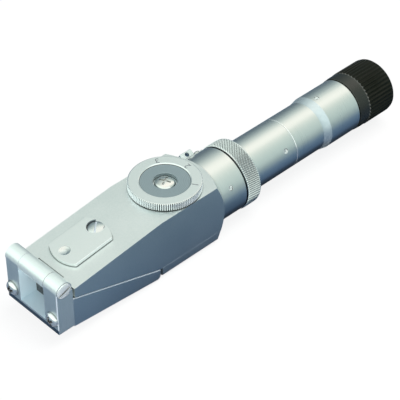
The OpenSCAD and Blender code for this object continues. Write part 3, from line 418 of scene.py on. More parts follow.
def softened(node, looks, body, width, segments=2, angle=25.0, wide=0.0, only=None, smooth=35.0,
             paint=None):
    """A copy of a solid with broken edges, its widths in mm. Edges that `only` picks get the wide bevel
    and the second look, and faces that `paint` picks get the last look."""
    short_share = 0.6
    bm = merged_copy(node)
    count = break_edges(bm, wide * MM, 3, angle, only, 1) if wide else 0
    if width:
        count += break_edges(bm, width * MM, segments, angle, is_long)
        count += break_edges(bm, width * MM * short_share, segments, angle)
    if paint:
        bm.normal_update()
        for face in [f for f in bm.faces if paint(f)]:
            face.material_index = len(looks) - 1
    piece = add_piece(node + "_soft", bm, looks, body, [node], smooth)
    print(node, "edges broken:", count)
    return level_normals(piece)


# %% [markdown]
# ## Cutting one shape out of another
# A recess, a slot or a rounded corner is a cutter taken away from the metal, as on a real machine.
# The cutter is a bar or an extruded outline, and a Boolean does the cut, which leaves clean edges
# where modelling each recess by hand would need its faces stitched in.

# %% Cutters and the cut
def bar(length, width, depth, turn):
    """A bar along X, turned round Z, with its middle at the origin."""
    bm = bmesh.new()
    bmesh.ops.create_cube(bm, size=1.0)
    bmesh.ops.scale(bm, vec=(length, width, depth), verts=bm.verts)
    bmesh.ops.rotate(bm, matrix=Matrix.Rotation(turn, 3, "Z"), verts=bm.verts)
    return bm


def cut_away(bm, cutter, name):
    """Cuts one bmesh out of another with a Boolean modifier, and gives back the result."""
    objects = []
    for label, source in ((name, bm), (name + "_tool", cutter)):
        mesh = bpy.data.meshes.new(label)
        source.to_mesh(mesh)
        source.free()
        objects.append(bpy.data.objects.new(label, mesh))
        bpy.context.scene.collection.objects.link(objects[-1])
    boolean = objects[0].modifiers.new("cut", "BOOLEAN")
    boolean.operation = "DIFFERENCE"
    boolean.solver = "EXACT"
    boolean.object = objects[1]
    result = bmesh.new()
    result.from_object(objects[0], bpy.context.evaluated_depsgraph_get())
    for spent in objects:
        bpy.data.meshes.remove(spent.data)
    return result


def extruded(outline, low, high, to_space):
    """Extrudes an outline of (u, v) points from low to high. `to_space` turns (u, v, w) into x, y, z."""
    bm = bmesh.new()
    end = bm.faces.new([bm.verts.new(to_space(u * MM, v * MM, low * MM)) for u, v in outline])
    grown = bmesh.ops.extrude_face_region(bm, geom=[end])["geom"]
    moved = [v for v in grown if isinstance(v, bmesh.types.BMVert)]
    bmesh.ops.translate(bm, vec=to_space(0, 0, (high - low) * MM), verts=moved)
    bmesh.ops.recalc_face_normals(bm, faces=bm.faces)
    return bm


# %% [markdown]
# ## The head, its foot and the prism box
# The head is one long casting with a level top at the rear and a sloped top in front. The box below
# it is the lid of this kind of instrument: a drop of the sample goes between its prism and the
# head's. All three are softened copies of their solids. A test on an edge or a face picks what looks
# different: the painted highlight lines along the flanks and the turned barrel of the hinge.

# %% Places that the tests look for
box_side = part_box("prism_box")[1].y
foot_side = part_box("foot_cover")[1].y
foot_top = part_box("foot_cover")[1].z
hinge_axis = middle("hinge_pin") * MM
barrel_radius = hinge_axis.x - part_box("hinge_frame")[0].x
print("barrel of the hinge, radius in mm:", round(barrel_radius / MM, 2))


# %% Head, foot and box
def on_flank(edge, side):
    """True for a long edge that lies on both sides at this distance from the middle plane."""
    along = edge.verts[1].co - edge.verts[0].co
    at_side = all(abs(abs(v.co.y) - side) < 0.02 * MM for v in edge.verts)
    return at_side and abs(along.x) > 10 * MM


def on_box_top(edge):
    """True for the sloped upper edges of the box's two flanks, which get a painted line of light."""
    if not on_flank(edge, box_side):
        return False
    along = edge.verts[1].co - edge.verts[0].co
    return 0.2 < abs(along.z / along.x) < 0.5


def on_foot_top(edge):
    """True for the long upper edges of the foot's two flanks, where the casting begins. They get a painted
    line of light.
    """
    return on_flank(edge, foot_side) and min(v.co.z for v in edge.verts) > foot_top - 0.1 * MM


def on_barrel(face):
    """True for the round faces of the hinge, which are turned and paler than the rest."""
    spot = face.calc_center_median()
    reach = math.hypot(spot.x - hinge_axis.x, spot.z - hinge_axis.z)
    return abs(reach - barrel_radius) < 0.15 * MM and abs(face.normal.y) < 0.3


softened("head_casting", [blasted, barrel_metal], "head", 0.22, paint=on_barrel)
# The wide bevels on the foot's and the box's upper edges get a painted highlight.
softened("foot_cover", [blasted, painted_edge_highlight], "head", 0.18, wide=0.3, only=on_foot_top)
softened("prism_box", [blasted, painted_edge_highlight], "lower_box", 0.14, wide=0.42, only=on_box_top)

# %% [markdown]
# ## The hinge frame with its light window
# Light enters the lower prism through a square window in the frame. Its inside is pale, so that it
# passes the light on. The frame's foot is rounded and painted dark as shade, and its uprights' edges
# get a painted highlight. All this could be separate pieces, but the real frame is one casting, so one
# piece gets five finishes, which are found by where each face lies.

# %% Sizes of the hinge frame, in mm
frame_low, frame_high = box_in_mm("hinge_frame")
frame_front = frame_low.x
frame_side = frame_high.y
foot_rise = 1.0
foot_line = frame_low.z + 2.7
chamfer = 0.3
upright_low = 6.7
upright_high = 24.5
window_half = 7.2
window_sill = 7.6
window_top = 21.5
tolerance = 0.1
spare = 1.0
print("frame's front at x", round(frame_front, 2), "and its sides at y", round(frame_side, 2))


# %% Round the foot and take off the uprights' edges
def rounding(corner, radius, steps=8):
    """The outline of a cutter that rounds a lower front corner."""
    x, z = corner
    arc = [math.pi * (1.5 - 0.5 * k / steps) for k in range(steps + 1)]
    round_part = [(x + radius + radius * math.cos(a), z + radius + radius * math.sin(a)) for a in arc]
    return [(x - spare, z - spare), (x + radius, z - spare)] + round_part + [(x - spare, z + radius)]


frame_bm = merged_copy("hinge_frame")
foot_outline = rounding((frame_front, frame_low.z), foot_rise)
outside = frame_side + spare
foot_tool = extruded(foot_outline, -outside, outside, lambda u, v, w: (u, w, v))
frame_bm = cut_away(frame_bm, foot_tool, "frame_round")
for flank in (-1, 1):
    inner = flank * (frame_side - chamfer)
    edge_outline = [
        (frame_front - spare, flank * outside), (frame_front + chamfer, flank * outside),
        (frame_front + chamfer, flank * frame_side), (frame_front, inner), (frame_front - spare, inner),
    ]
    edge_tool = extruded(edge_outline, upright_low, upright_high, lambda u, v, w: (u, v, w))
    frame_bm = cut_away(frame_bm, edge_tool, "frame_edge")
geometry = frame_bm.verts[:] + frame_bm.edges[:] + frame_bm.faces[:]
bmesh.ops.bisect_plane(frame_bm, geom=geometry, plane_co=(0, 0, foot_line * MM), plane_no=(0, 0, 1))
frame_bm.normal_update()
print("faces of the frame:", len(frame_bm.faces))


# %% Finishes of the frame's faces
def in_window(face):
    """True for the faces of the window's sides and its sill."""
    spot = face.calc_center_median_weighted() / MM
    between = abs(spot.y) < window_half + tolerance
    inside = between and window_sill - tolerance < spot.z < window_top
    return inside and abs(face.normal.x) < 0.5


def frame_look(face):
    """The finish of one face of the frame."""
    if on_barrel(face):
        return barrel_metal
    if in_window(face):
        return window_white
    # The chamfers on the uprights' front corners get a painted highlight.
    if face.normal.x < -0.6 and abs(face.normal.y) > 0.6:
        return painted_edge_highlight
    # The front below the foot line is painted dark as shade.
    if face.normal.x < -0.1 and face.calc_center_median().z < foot_line * MM:
        return painted_shade_metal
    return brushed


frame_looks = [brushed, window_white, barrel_metal, painted_edge_highlight, painted_shade_metal]
for face in frame_bm.faces:
    face.material_index = frame_looks.index(frame_look(face))
print("window faces:", sum(in_window(f) for f in frame_bm.faces))
level_normals(add_piece("hinge_frame_soft", frame_bm, frame_looks, "lower_box", ["hinge_frame"]))

# %% [markdown]
# ## Screws
# A screw head is a turned shape with a recess cut in its top. The turned part is a profile spun
# round an axis. The recess could be modelled by hand, but a Boolean with one bar or two crossed bars
# is what the punch does in the factory too.

# %% Spin a profile
def spun(profile, steps):
    """Spins a profile of (radius, height) points round Z, merges the seam and turns normals out."""
    bm = bmesh.new()
    points = [bm.verts.new((radius, 0, height)) for radius, height in profile]
    lines = [bm.edges.new(pair) for pair in zip(points, points[1:])]
    bmesh.ops.spin(bm, geom=points + lines, cent=(0, 0, 0), axis=(0, 0, 1), dvec=(0, 0, 0),
                   angle=2 * math.pi, steps=steps, use_merge=True, use_duplicate=False)
    bmesh.ops.remove_doubles(bm, verts=bm.verts, dist=0.0005 * MM)
    bmesh.ops.recalc_face_normals(bm, faces=bm.faces)
    return bm


def in_mm(profile):
    """Turns a profile in mm into metres."""
    return [(radius * MM, height * MM) for radius, height in profile]


def dome(radius, low, high, count=7):
    """Points of a quarter of an ellipse, from the rim at height low to the top at height high."""
    steps = [math.pi / 2 * k / count for k in range(count + 1)]
    return [(radius * math.cos(a), low + (high - low) * math.sin(a)) for a in steps]


# %% A domed head
def slotted(bm, length, width, depth, turns, top, name):
    """Cuts bars into the top of a head, one for each turn. Sizes in mm, with the bars' middle at `top`."""
    for turn in turns:
        tool = bar(length * MM, width * MM, depth * MM, turn)
        bmesh.ops.translate(tool, vec=(0, 0, top * MM), verts=tool.verts)
        bm = cut_away(bm, tool, name)
    return bm


def screw_head(radius, height, shank, length, top_share=0.5, cross=0.62, width=0.2, deep=0.75, turn=0.0,
               bars=2):
    """A domed head with its seat at height 0, and a cross recess or one slot. Sizes in mm. `cross` and
    `width` are shares of the head's diameter, and `deep` and `top_share` shares of its height."""
    side = height * (1 - top_share)
    profile = [(0, -length), (shank, -length), (shank, 0), (radius, 0), (radius, side)]
    profile += dome(radius, side, height)[1:]
    profile[-1] = (0, height)
    turns = (turn, turn + math.pi / 2)[:bars]
    recess = (2 * radius * cross, 2 * radius * width, 2 * height * deep)
    return slotted(spun(in_mm(profile), steps=40), *recess, turns, height, "head_cut")


def stood(bm, centre, axis):
    """Stands a bmesh with its own Z along an axis, at a centre in mm."""
    turned_to = Vector(axis).to_track_quat("Z", "Y").to_matrix().to_4x4()
    moved = Matrix.Translation(Vector(centre) * MM) @ turned_to
    bmesh.ops.transform(bm, matrix=moved, verts=bm.verts)
    return bm


def joined(*parts):
    """Puts several bmeshes into one."""
    whole = bmesh.new()
    for part in parts:
        mesh = bpy.data.meshes.new("part")
        part.to_mesh(mesh)
        part.free()
        whole.from_mesh(mesh)
        bpy.data.meshes.remove(mesh)
    return whole


# %% [markdown]
# ## The frame's screws and the hinge pin
# Two pan-head screws hold the frame to the box, and the hinge pin has a broad flat head on the near
# side. Their places could be typed, but they come from the frame's own boxes, so they follow the
# solids.

# %% Frame screws
screw_low, screw_high = box_in_mm("frame_screws")
head_radius = (screw_high.z - screw_low.z) / 2
head_height = frame_front - screw_low.x
screw_length = screw_high.x - frame_front
screw_shank = 1.25
screw_y = screw_high.y - head_radius
heads = []
for flank, twist in ((-1, 0.5), (1, 0.2)):
    bm = screw_head(head_radius, head_height, screw_shank, screw_length, top_share=0.85, turn=twist)
    heads.append(stood(bm, (frame_front, flank * screw_y, middle("frame_screws").z), (-1, 0, 0)))
add_piece("frame_screw_pair", joined(*heads), bright_steel, "lower_box", ["frame_screws"])
print("screw heads at y", round(screw_y, 2), "radius", round(head_radius, 2))

# %% Hinge pin
pin_low, pin_high = box_in_mm("hinge_pin")
pin_radius = (pin_high.z - pin_low.z) / 2
pin_seat = frame_low.y
pin_shank = 1.5
pin_bm = screw_head(pin_radius, pin_seat - pin_low.y, pin_shank, pin_high.y - pin_seat,
                    top_share=0.85, cross=1.1, width=0.16, deep=0.7, turn=0.4, bars=1)
stood(pin_bm, (middle("hinge_pin").x, pin_seat, middle("hinge_pin").z), (0, -1, 0))
add_piece("hinge_pin_head", pin_bm, pin_steel, "lower_box", ["hinge_pin"])
print("pin head's radius", round(pin_radius, 2))

# %% [markdown]
# ## The scale cover on the slope
# A thin plate hides the adjusting screw. It turns about a slotted screw that sits in a counterbore,
# and a small dimple takes a fingertip. The plate keeps its solid's shape with broken edges, and the
# dimple and the wall of the counterbore are found by their distance from the pivot.

# %% Scale cover
cover_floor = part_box("scale_cover")[0].z
pivot_spot = middle("cover_pivot_screw") * MM
dimple_spot = pivot_spot - Vector((15.7, 0.65, 0)) * MM
dimple_radius = 2.3 * MM
counterbore_radius = 3.8 * MM


def on_dimple(face):
    """True for the hollow of the dimple, which shines like a polished bowl."""
    spot = face.calc_center_median()
    inside = (spot - dimple_spot).xy.length < dimple_radius
    return inside and abs(face.normal.z) < 0.975 and spot.z > cover_floor + 1.2 * MM


cover = softened("scale_cover", [satin, painted_shade_metal, pivot_steel], "cover_plate", 0.16, paint=on_dimple)
# The counterbore's wall is painted dark as shade.
for polygon in cover.data.polygons:
    away = polygon.center - pivot_spot
    if away.xy.length < counterbore_radius and abs(polygon.normal.z) < 0.5:
        polygon.material_index = 1


# %% Where the pivot screw's top lies, and which way it looks
def outwardness(face):
    """How far out a face lies along its own normal."""
    return face.calc_center_median().dot(face.normal)


pivot_solid = merged_copy("cover_pivot_screw")
pivot_solid.normal_update()
tops = sorted((f for f in pivot_solid.faces if f.normal.z > 0.9), key=outwardness, reverse=True)
slope_up = tops[0].normal.copy()
pivot_top = (tops[0].calc_center_median() + tops[1].calc_center_median()) / 2 / MM
pivot_solid.free()
print("the slope looks along", [round(v, 3) for v in slope_up])

# %% Pivot screw, a shallow dome with one slot, in mm, and the adjusting screw
pivot_radius = 3.3
pivot_rise = 0.75
pivot_crown = 0.4
slot_width = 0.7
slot_turn = math.radians(-47.5)
ball = (pivot_radius ** 2 + pivot_rise ** 2) / (2 * pivot_rise)
radii = (pivot_radius, 2.9, 2.4, 1.8, 1.2, 0.6, 0)
crown = [(r, math.sqrt(ball ** 2 - r ** 2) - ball + pivot_crown) for r in radii]
pivot_shank = 1.5
pivot_end = -3.0
pivot_seat = -0.5
shaft = [(0, pivot_end), (pivot_shank, pivot_end), (pivot_shank, pivot_seat), (pivot_radius, pivot_seat)]
pivot_bm = slotted(spun(in_mm(shaft + crown), steps=64), length=8, width=slot_width, depth=0.7,
                   turns=[slot_turn], top=0.3, name="pivot_cut")
# The slot's faces get a painted highlight.
for face in pivot_bm.faces:
    spot = face.calc_center_median() / MM
    aside = abs(spot.y * math.cos(slot_turn) - spot.x * math.sin(slot_turn))
    if aside < slot_width / 2 + 0.01 and spot.z > -0.1:
        face.material_index = 1
stood(pivot_bm, pivot_top, slope_up)
add_piece("pivot_screw_slotted", pivot_bm, [pivot_steel, painted_edge_highlight], "head", ["cover_pivot_screw"])
softened("adjusting_screw", brass, "scale_adjuster", 0.05)

# %% [markdown]
# ## The range dial
# The dial's rim carries about a hundred straight flutes. A fluted rim is a spun profile in which
# every third column of points is pulled in. Cutting each flute with a Boolean would give the same
# shape, but pulling columns keeps the mesh light and makes crisp V-shaped grooves, which catch light
# as the photograph shows.

# %% Pull columns of a spun shape inwards
def fluted(bm, pattern, inside, depth, low, high):
    """Pulls the outer points between two heights inwards, by a pattern that repeats round the axis."""
    columns = {}
    for vert in bm.verts:
        radius = math.hypot(vert.co.x, vert.co.y)
        if radius > inside and low < vert.co.z < high:
            angle = math.atan2(vert.co.y, vert.co.x) % (2 * math.pi)
            columns.setdefault(round(angle, 4), []).append((vert, radius))
    for index, angle in enumerate(sorted(columns)):
        pull = depth * pattern[index % len(pattern)]
        for vert, radius in columns[angle]:
            vert.co.x *= (radius - pull) / radius
            vert.co.y *= (radius - pull) / radius
    return len(columns)


# %% Dial rim, in mm
dial_low, dial_high = box_in_mm("dial_ring")
rim = (dial_high.x - dial_low.x) / 2
dial_top = dial_high.z
dial_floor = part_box("dial_disc")[0].z / MM
dial_bore = 1.55
recess = 10.0
flute_count = 108
flute_pattern = (0, 0, 1)
flute_depth = 0.55
dial_profile = [
    (dial_bore, dial_low.z), (rim - 0.5, dial_low.z), (rim - 0.1, dial_low.z + 0.2),
    (rim, dial_low.z + 0.35), (rim, dial_top - 0.45), (rim - 0.1, dial_top - 0.25),
    (rim - 0.35, dial_top - 0.06), (rim - 0.5, dial_top), (recess + 0.4, dial_top),
    (recess + 0.1, dial_top - 0.3), (recess, dial_top - 0.34), (recess, dial_floor),
    (dial_bore, dial_floor), (dial_bore, dial_low.z),
]
dial_bm = spun(in_mm(dial_profile), flute_count * len(flute_pattern))
flute_inside = (rim - 0.3) * MM
flute_top = (dial_top - 0.1) * MM
columns = fluted(dial_bm, flute_pattern, flute_inside, flute_depth * MM, dial_low.z * MM, flute_top)
print("columns on the dial's rim:", columns)

# %% Finishes of the dial's rim
dial_bm.normal_update()
for face in dial_bm.faces:
    at_rim = face.calc_center_median().xy.length > (rim - 0.62) * MM
    if at_rim and abs(face.normal.z) < 0.3:
        face.material_index = 1
add_piece("dial_rim", dial_bm, [satin, fluted_metal], "range_dial", ["dial_ring"], 6.0)

# %% [markdown]
# ## The dial's disc, screw and numbers
# A darker disc lies in the dial, held by a domed screw. The three plain numbers name the ranges, and
# they are set round the dial so that each reads upright from the eyepiece when it is in use. Text in
# Blender is a curve, so it is turned into a mesh before it is put in place.

# %% Disc and screw, in mm
softened("dial_disc", dial_metal, "range_dial", 0.12)
dome_low, dome_high = box_in_mm("dial_screw")
dome_radius = (dome_high.x - dome_low.x) / 2
dome_shank = 1.5
dome_turn = 0.45
dome_profile = [
    (0, dome_low.z), (dome_shank, dome_low.z), (dome_shank, dial_floor),
    (dome_radius, dial_floor), (dome_radius, dial_floor + 0.25),
]
dome_profile += dome(dome_radius - 0.1, dial_floor + 0.35, dome_high.z, 9)
dome_profile[-1] = (0, dome_high.z)
dome_cross = (dome_radius * 1.15, dome_radius * 0.22, 1.1)
dome_turns = (dome_turn, dome_turn + math.pi / 2)
dome_bm = spun(in_mm(dome_profile), steps=64)
dome_bm = slotted(dome_bm, *dome_cross, dome_turns, dome_high.z, "dome_cut")
add_piece("dial_screw_dome", dome_bm, polished, "range_dial", ["dial_screw"])
print("domed screw's radius", round(dome_radius, 2))

# %% Numbers
def number(text, angle, size, radius, height, look):
    """A number as a thin mesh, its middle at a radius and an angle round the dial. Sizes in mm."""
    curve = bpy.data.curves.new("number_" + text, "FONT")
    curve.body = text
    curve.size = size * MM
    curve.extrude = 0.015 * MM
    curve.align_x = "CENTER"
    curve.align_y = "CENTER"
    source = bpy.data.objects.new("number_" + text, curve)
    bpy.context.scene.collection.objects.link(source)
    bm = bmesh.new()
    bpy.context.view_layer.update()
    bm.from_mesh(bpy.data.meshes.new_from_object(source))
    bpy.data.objects.remove(source)
    turn = math.radians(angle)
    spot = Vector((math.cos(turn) * radius * MM, math.sin(turn) * radius * MM, height * MM))
    placed = Matrix.Translation(spot) @ Matrix.Rotation(turn + math.pi / 2, 4, "Z")
    bmesh.ops.transform(bm, matrix=placed, verts=bm.verts)
    return add_piece("range_number_" + text, bm, look, "range_dial", smooth=0)


number_size = 4.0
number_radius = 12.1
number_height = dial_top + 0.005
print("numbers stand at z", round(number_height, 3))
for text, angle in (("1", -57.0), ("2", 0.0), ("3", 62.0)):
    number(text, angle, number_size, number_radius, number_height, ink)

# %% [markdown]
# ## The neck, the tubes and their small screws
# These are turned parts, one behind the other. Their joint lines are fine grooves between two broken
# edges, so the edges' width matters more than anything else here. The cone gets a painted reflection
# band, the rear tube's two ends shine differently, and each is found by where it lies along the tube.

# %% Neck and tubes
tube_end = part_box("rear_tube")[1].x
tube_axis = middle("rear_tube").z * MM
cone_start = 79.6 * MM
cone_end = 83.4 * MM
front_end = 64 * MM
end_ring_radius = 10.8 * MM


def on_tube_end(edge):
    """True for the outer edges of the rear tube's two ends, which shine as thin rings."""
    at_end = all(v.co.x < front_end or v.co.x > tube_end - 0.1 * MM for v in edge.verts)
    level = abs(edge.verts[0].co.x - edge.verts[1].co.x) < 0.01 * MM
    reach = min(math.hypot(v.co.y, v.co.z - tube_axis) for v in edge.verts)
    return at_end and level and reach > end_ring_radius


def on_cone(face):
    """True for the short cone between the rear tube's two diameters, which gets a painted reflection band.
    """
    return abs(face.normal.x) > 0.1 and cone_start < face.calc_center_median().x < cone_end


tube_looks = [turned_metal, set_steel, cone_painted_band]
softened("neck_sleeve", turned_metal, "head", 0.2, smooth=12.0)
softened("front_tube", turned_metal, "head", 0.22, angle=12.0, smooth=12.0)
softened("rear_tube", tube_looks, "head", 0.2, angle=12.0, wide=0.4, only=on_tube_end, smooth=7.0,
         paint=on_cone)
softened("strap_lug", brushed, "head", 0.8, segments=3)

# %% [markdown]
# A set screw is small, but it is one of the things the eye looks for. A socket with six sides would
# be about a pixel wide, so a polished dish stands for it: the side that faces up shines as a crescent
# and the other side is dark. The strap's screw is a small domed head.

# %% Set screws
def set_screw(x, reach, length, angle):
    """A set screw at a place along the tube, at an angle from the top towards the near side."""
    tilt = math.radians(angle)
    out = Vector((0, -math.sin(tilt), math.cos(tilt)))
    radius = 1.0
    floor = -0.9
    profile = [(0, -length), (radius, -length), (radius, -0.05), (0.95, 0), (0.72, -0.4), (0.4, -0.44),
               (0.36, floor), (0, floor)]
    return stood(spun(in_mm(profile), steps=32), Vector((x, 0, tube_axis / MM)) + out * reach, out)


neck_screw = set_screw(x=23.95, reach=13.65, length=2.6, angle=60.4)
joint_screw = set_screw(x=57.7, reach=10.83, length=1.25, angle=63.3)
guide_screw = set_screw(x=86.0, reach=11.45, length=2.3, angle=0.0)
add_piece("set_screw_pair", joined(neck_screw, joint_screw), set_steel, "head", ["tube_set_screws"])
add_piece("guide_screw_dish", guide_screw, set_steel, "head", ["guide_screw"])
print("the tubes' axis lies at z", round(tube_axis / MM, 2))

# %% The strap's screw
strap_angle = math.radians(60)
outwards = Vector((0, math.sin(strap_angle), math.cos(strap_angle)))
seat_radius = 14.2
seat = Vector((middle("strap_screw").x, 0, tube_axis / MM)) + outwards * seat_radius
strap_bm = screw_head(radius=1.6, height=1.0, shank=0.8, length=1.9, top_share=0.8, cross=0.6,
                      width=0.16, deep=0.5, turn=0.6)
add_piece("strap_screw_head", stood(strap_bm, seat, outwards), polished, "head", ["strap_screw"])
print("the strap's screw sits at", [round(v, 2) for v in seat])

# %% [markdown]
# ## The diamond knurl of the compensator ring
# Two sets of crossed grooves leave small pyramids. The band starts as a spun strip of square faces.
# Poking each face adds its centre, and dissolving the old square edges leaves diamonds. Poking those
# once more, with an offset, raises every diamond to a point. Modelling one diamond and repeating it
# would need a fit at the seam, which this way never does.

# %% Knurl
def knurl(radius, low, high, columns, rows, depth):
    """A band of raised diamonds round Z. Sizes in mm."""
    steps = [low + (high - low) * k / rows for k in range(rows + 1)]
    bm = spun([(radius * MM, step * MM) for step in steps], columns)
    square = list(bm.edges)
    bmesh.ops.poke(bm, faces=bm.faces[:], offset=0.0)
    inner = [e for e in square if e.is_valid and len(e.link_faces) == 2]
    bmesh.ops.dissolve_edges(bm, edges=inner, use_verts=False)
    diamonds = [f for f in bm.faces if len(f.verts) == 4]
    bmesh.ops.recalc_face_normals(bm, faces=bm.faces)
    flat = Vector((1, 1, 0))
    outward = sum(1 for f in diamonds if f.normal.dot(f.calc_center_median() * flat) > 0)
    if outward < len(diamonds) / 2:
        bmesh.ops.reverse_faces(bm, faces=bm.faces)
    bmesh.ops.poke(bm, faces=diamonds, offset=depth * MM)
    print("diamonds:", len(diamonds))
    return bm


# %% Compensator ring, in mm
ring_low, ring_high = box_in_mm("compensator_ring")
ring_radius = (ring_high.y - ring_low.y) / 2
ring_length = ring_high.x - ring_low.x
ring_bore = 11.04
knurl_columns = 92
knurl_rows = 7
knurl_depth = 0.42
valley = ring_radius - knurl_depth
groove = 0.55
groove_floor = 13.0
band_end = ring_length - 0.3
ring_profile = [
    (valley, groove), (ring_radius - 0.5, groove - 0.04), (groove_floor, groove - 0.04),
    (groove_floor, 0.0), (ring_bore, 0.0), (ring_bore, ring_length), (ring_radius - 0.6, ring_length),
    (valley, band_end + 0.08), (valley, band_end),
]
band = knurl(valley, groove, band_end, knurl_columns, knurl_rows, knurl_depth)
ring_bm = joined(spun(in_mm(ring_profile), knurl_columns), band)
bmesh.ops.remove_doubles(ring_bm, verts=ring_bm.verts, dist=0.002 * MM)
bmesh.ops.recalc_face_normals(ring_bm, faces=ring_bm.faces)
stood(ring_bm, (ring_low.x, 0, middle("compensator_ring").z), (1, 0, 0))
ring_bm.normal_update()
# The ring's front faces are painted darker, as shade.
for face in ring_bm.faces:
    if face.normal.x < -0.99:
        face.material_index = 1
add_piece("compensator_knurl", ring_bm, [knurled, ring_face_painted_shade], "compensator", ["compensator_ring"], 8.0)

# %% [markdown]
# ## The ribbed eyepiece
# The eyepiece flares from the tube, has a smooth band, and then straight ribs for the fingers up to
# its rounded end. It is one spun profile again, and this time the columns go in and out two by two,
# which gives ribs with flat tops.

# %% Dioptre ring, in mm along the ring
eye_low, eye_high = box_in_mm("dioptre_ring")
grip = (eye_high.y - eye_low.y) / 2
eye_length = eye_high.x - eye_low.x
skirt_bore = 11.4
skirt_depth = 3.7
thread_bore = 11.05
ocular_bore = 8.64
ocular_floor = eye_length - 6.8
retainer_bore = 9.65
retainer_floor = eye_length - 4.8
rim_bore = 10.55
rim_floor = eye_length - 3.0
rib_start = 6.0
rib_count = 44
rib_pattern = (0, 0, 1, 1)
rib_depth = 0.45
eye_profile = [
    (skirt_bore, 0.0), (11.85, 0.0), (12.0, 0.15), (grip - 0.25, 1.9), (grip - 0.2, 2.3),
    (grip - 0.2, 5.4), (grip - 0.4, 5.6), (grip, rib_start), (grip, 12.0), (grip, eye_length - 2.0),
    (grip - 0.3, eye_length - 0.85), (grip - 0.85, eye_length - 0.25), (grip - 1.4, eye_length),
    (rim_bore, eye_length), (rim_bore, rim_floor), (retainer_bore, rim_floor),
    (retainer_bore, retainer_floor), (ocular_bore, retainer_floor), (ocular_bore, ocular_floor),
    (thread_bore, ocular_floor), (thread_bore, skirt_depth), (skirt_bore, skirt_depth),
    (skirt_bore, 0.0),
]
eye_bm = spun(in_mm(eye_profile), rib_count * len(rib_pattern))
rib_inside = (grip - 0.31) * MM
rib_end = (eye_length - 0.9) * MM
columns = fluted(eye_bm, rib_pattern, rib_inside, rib_depth * MM, rib_start * MM, rib_end)
stood(eye_bm, (eye_low.x, 0, middle("dioptre_ring").z), (1, 0, 0))
print("columns on the grip:", columns)

# %% Finishes of the dioptre ring: its ribs, its band with a painted sheen, and a painted glint where the ribs start
eye_looks = [black_plastic, band_plastic, rib_painted_glint]
for face in eye_bm.faces:
    along_grip = face.calc_center_median().x / MM - eye_low.x
    if along_grip < rib_start - 0.02:
        face.material_index = 1
    if 5.35 < along_grip < rib_start + 0.2:
        face.material_index = 2
add_piece("dioptre_grip", eye_bm, eye_looks, "eyepiece_ring", ["dioptre_ring"], 30.0)

# %% Eye rim, in mm
rim_low, rim_high = box_in_mm("eye_rim")
rim_length = rim_high.x - rim_low.x
rim_inner = 7.25
rim_outer = 10.5
rim_profile = [
    (rim_inner, 0.0), (rim_outer, 0.0), (rim_outer, rim_length - 0.15), (10.3, rim_length),
    (9.6, rim_length), (9.2, rim_length - 0.1), (8.9, rim_length - 0.35), (8.0, 1.2), (7.4, 0.35),
    (rim_inner, 0.0),
]
rim_bm = spun(in_mm(rim_profile), steps=72)
stood(rim_bm, (rim_low.x, 0, middle("eye_rim").z), (1, 0, 0))
add_piece("eye_rim_soft", rim_bm, rubber, "eyepiece_ring", ["eye_rim"], 50.0)
print("eye rim's length", round(rim_length, 2))

# %% [markdown]
# ## Glass
# A lens must look perfectly round, so its copy is merged and smooth all over but for its rim. The
# prisms keep crisp edges with the tiny bevel that a glass worker grinds on them against chipping.

# %% Lenses and prisms
def is_blackened(face):
    """The sides and the underside of the lower prism are painted black against stray light."""
    return abs(face.normal.y) > 0.9 or face.normal.z < -0.9


for node, body in (("objective_lens", "head"), ("field_lens", "ocular"), ("eye_lens", "ocular")):
    softened(node, lens_glass, body, 0)
softened("refracting_prism", prism_glass, "head", 0.12)
softened("illuminating_prism", [matt_glass, black_paint], "lower_box", 0.12, paint=is_blackened)
softened("amici_prism", prism_glass, "compensator", 0.1)

# %% [markdown]
# ## Finishes for the solids that stay
# What lies inside keeps its solid and only gets a finish. A table of names to materials is easier to
# check than forty lines of assignments.

# %% Assign the remaining finishes
finishes = {
    "foot_screws": bright_steel, "prism_packing": rubber, "spindle_bush": brass,
    "detent_ball": polished, "detent_spring": dark_steel, "objective_cell": black_paint,
    "reticle_cell": black_paint, "scale_reticle": lens_glass, "prism_keeper": black_paint,
    "range_spindle": brass, "range_drum": black_paint, "range_wedges": lens_glass,
    "compensator_key": dark_steel, "amici_cell": black_paint, "ocular_cell": black_paint,
    "field_lens_ring": black_paint, "ocular_retainer": black_paint,
}
for node, look in finishes.items():
    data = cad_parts[node].data
    data.materials.clear()
    data.materials.append(look)
print("solids with a finish:", len(finishes))

# %% [markdown]
# ## The studio
# Metal shows what surrounds it, so the surroundings are part of the finish. The floor and the
# backdrop are white for the camera, and for what metal mirrors and glass lets through. A brighter
# lamp would whiten them too, but it would bleach the object.

# %% Helpers for the studio
def white_share(look):
    """1 for rays from the camera, from metal and through glass, and 0 for the light on the object."""
    seen = look.node("ShaderNodeLightPath", out="Is Camera Ray")
    mirrored = look.node("ShaderNodeLightPath", out="Is Glossy Ray")
    through = look.node("ShaderNodeLightPath", out="Is Transmission Ray")
    return clamped(seen + mirrored + through)


def studio_object(name, bm, look):
    """An object of the studio, made of a bmesh."""
    mesh = bpy.data.meshes.new(name)
    bm.to_mesh(mesh)
    bm.free()
    mesh.materials.append(look.owner)
    made = bpy.data.objects.new(name, mesh)
    bpy.context.scene.collection.objects.link(made)
    return made


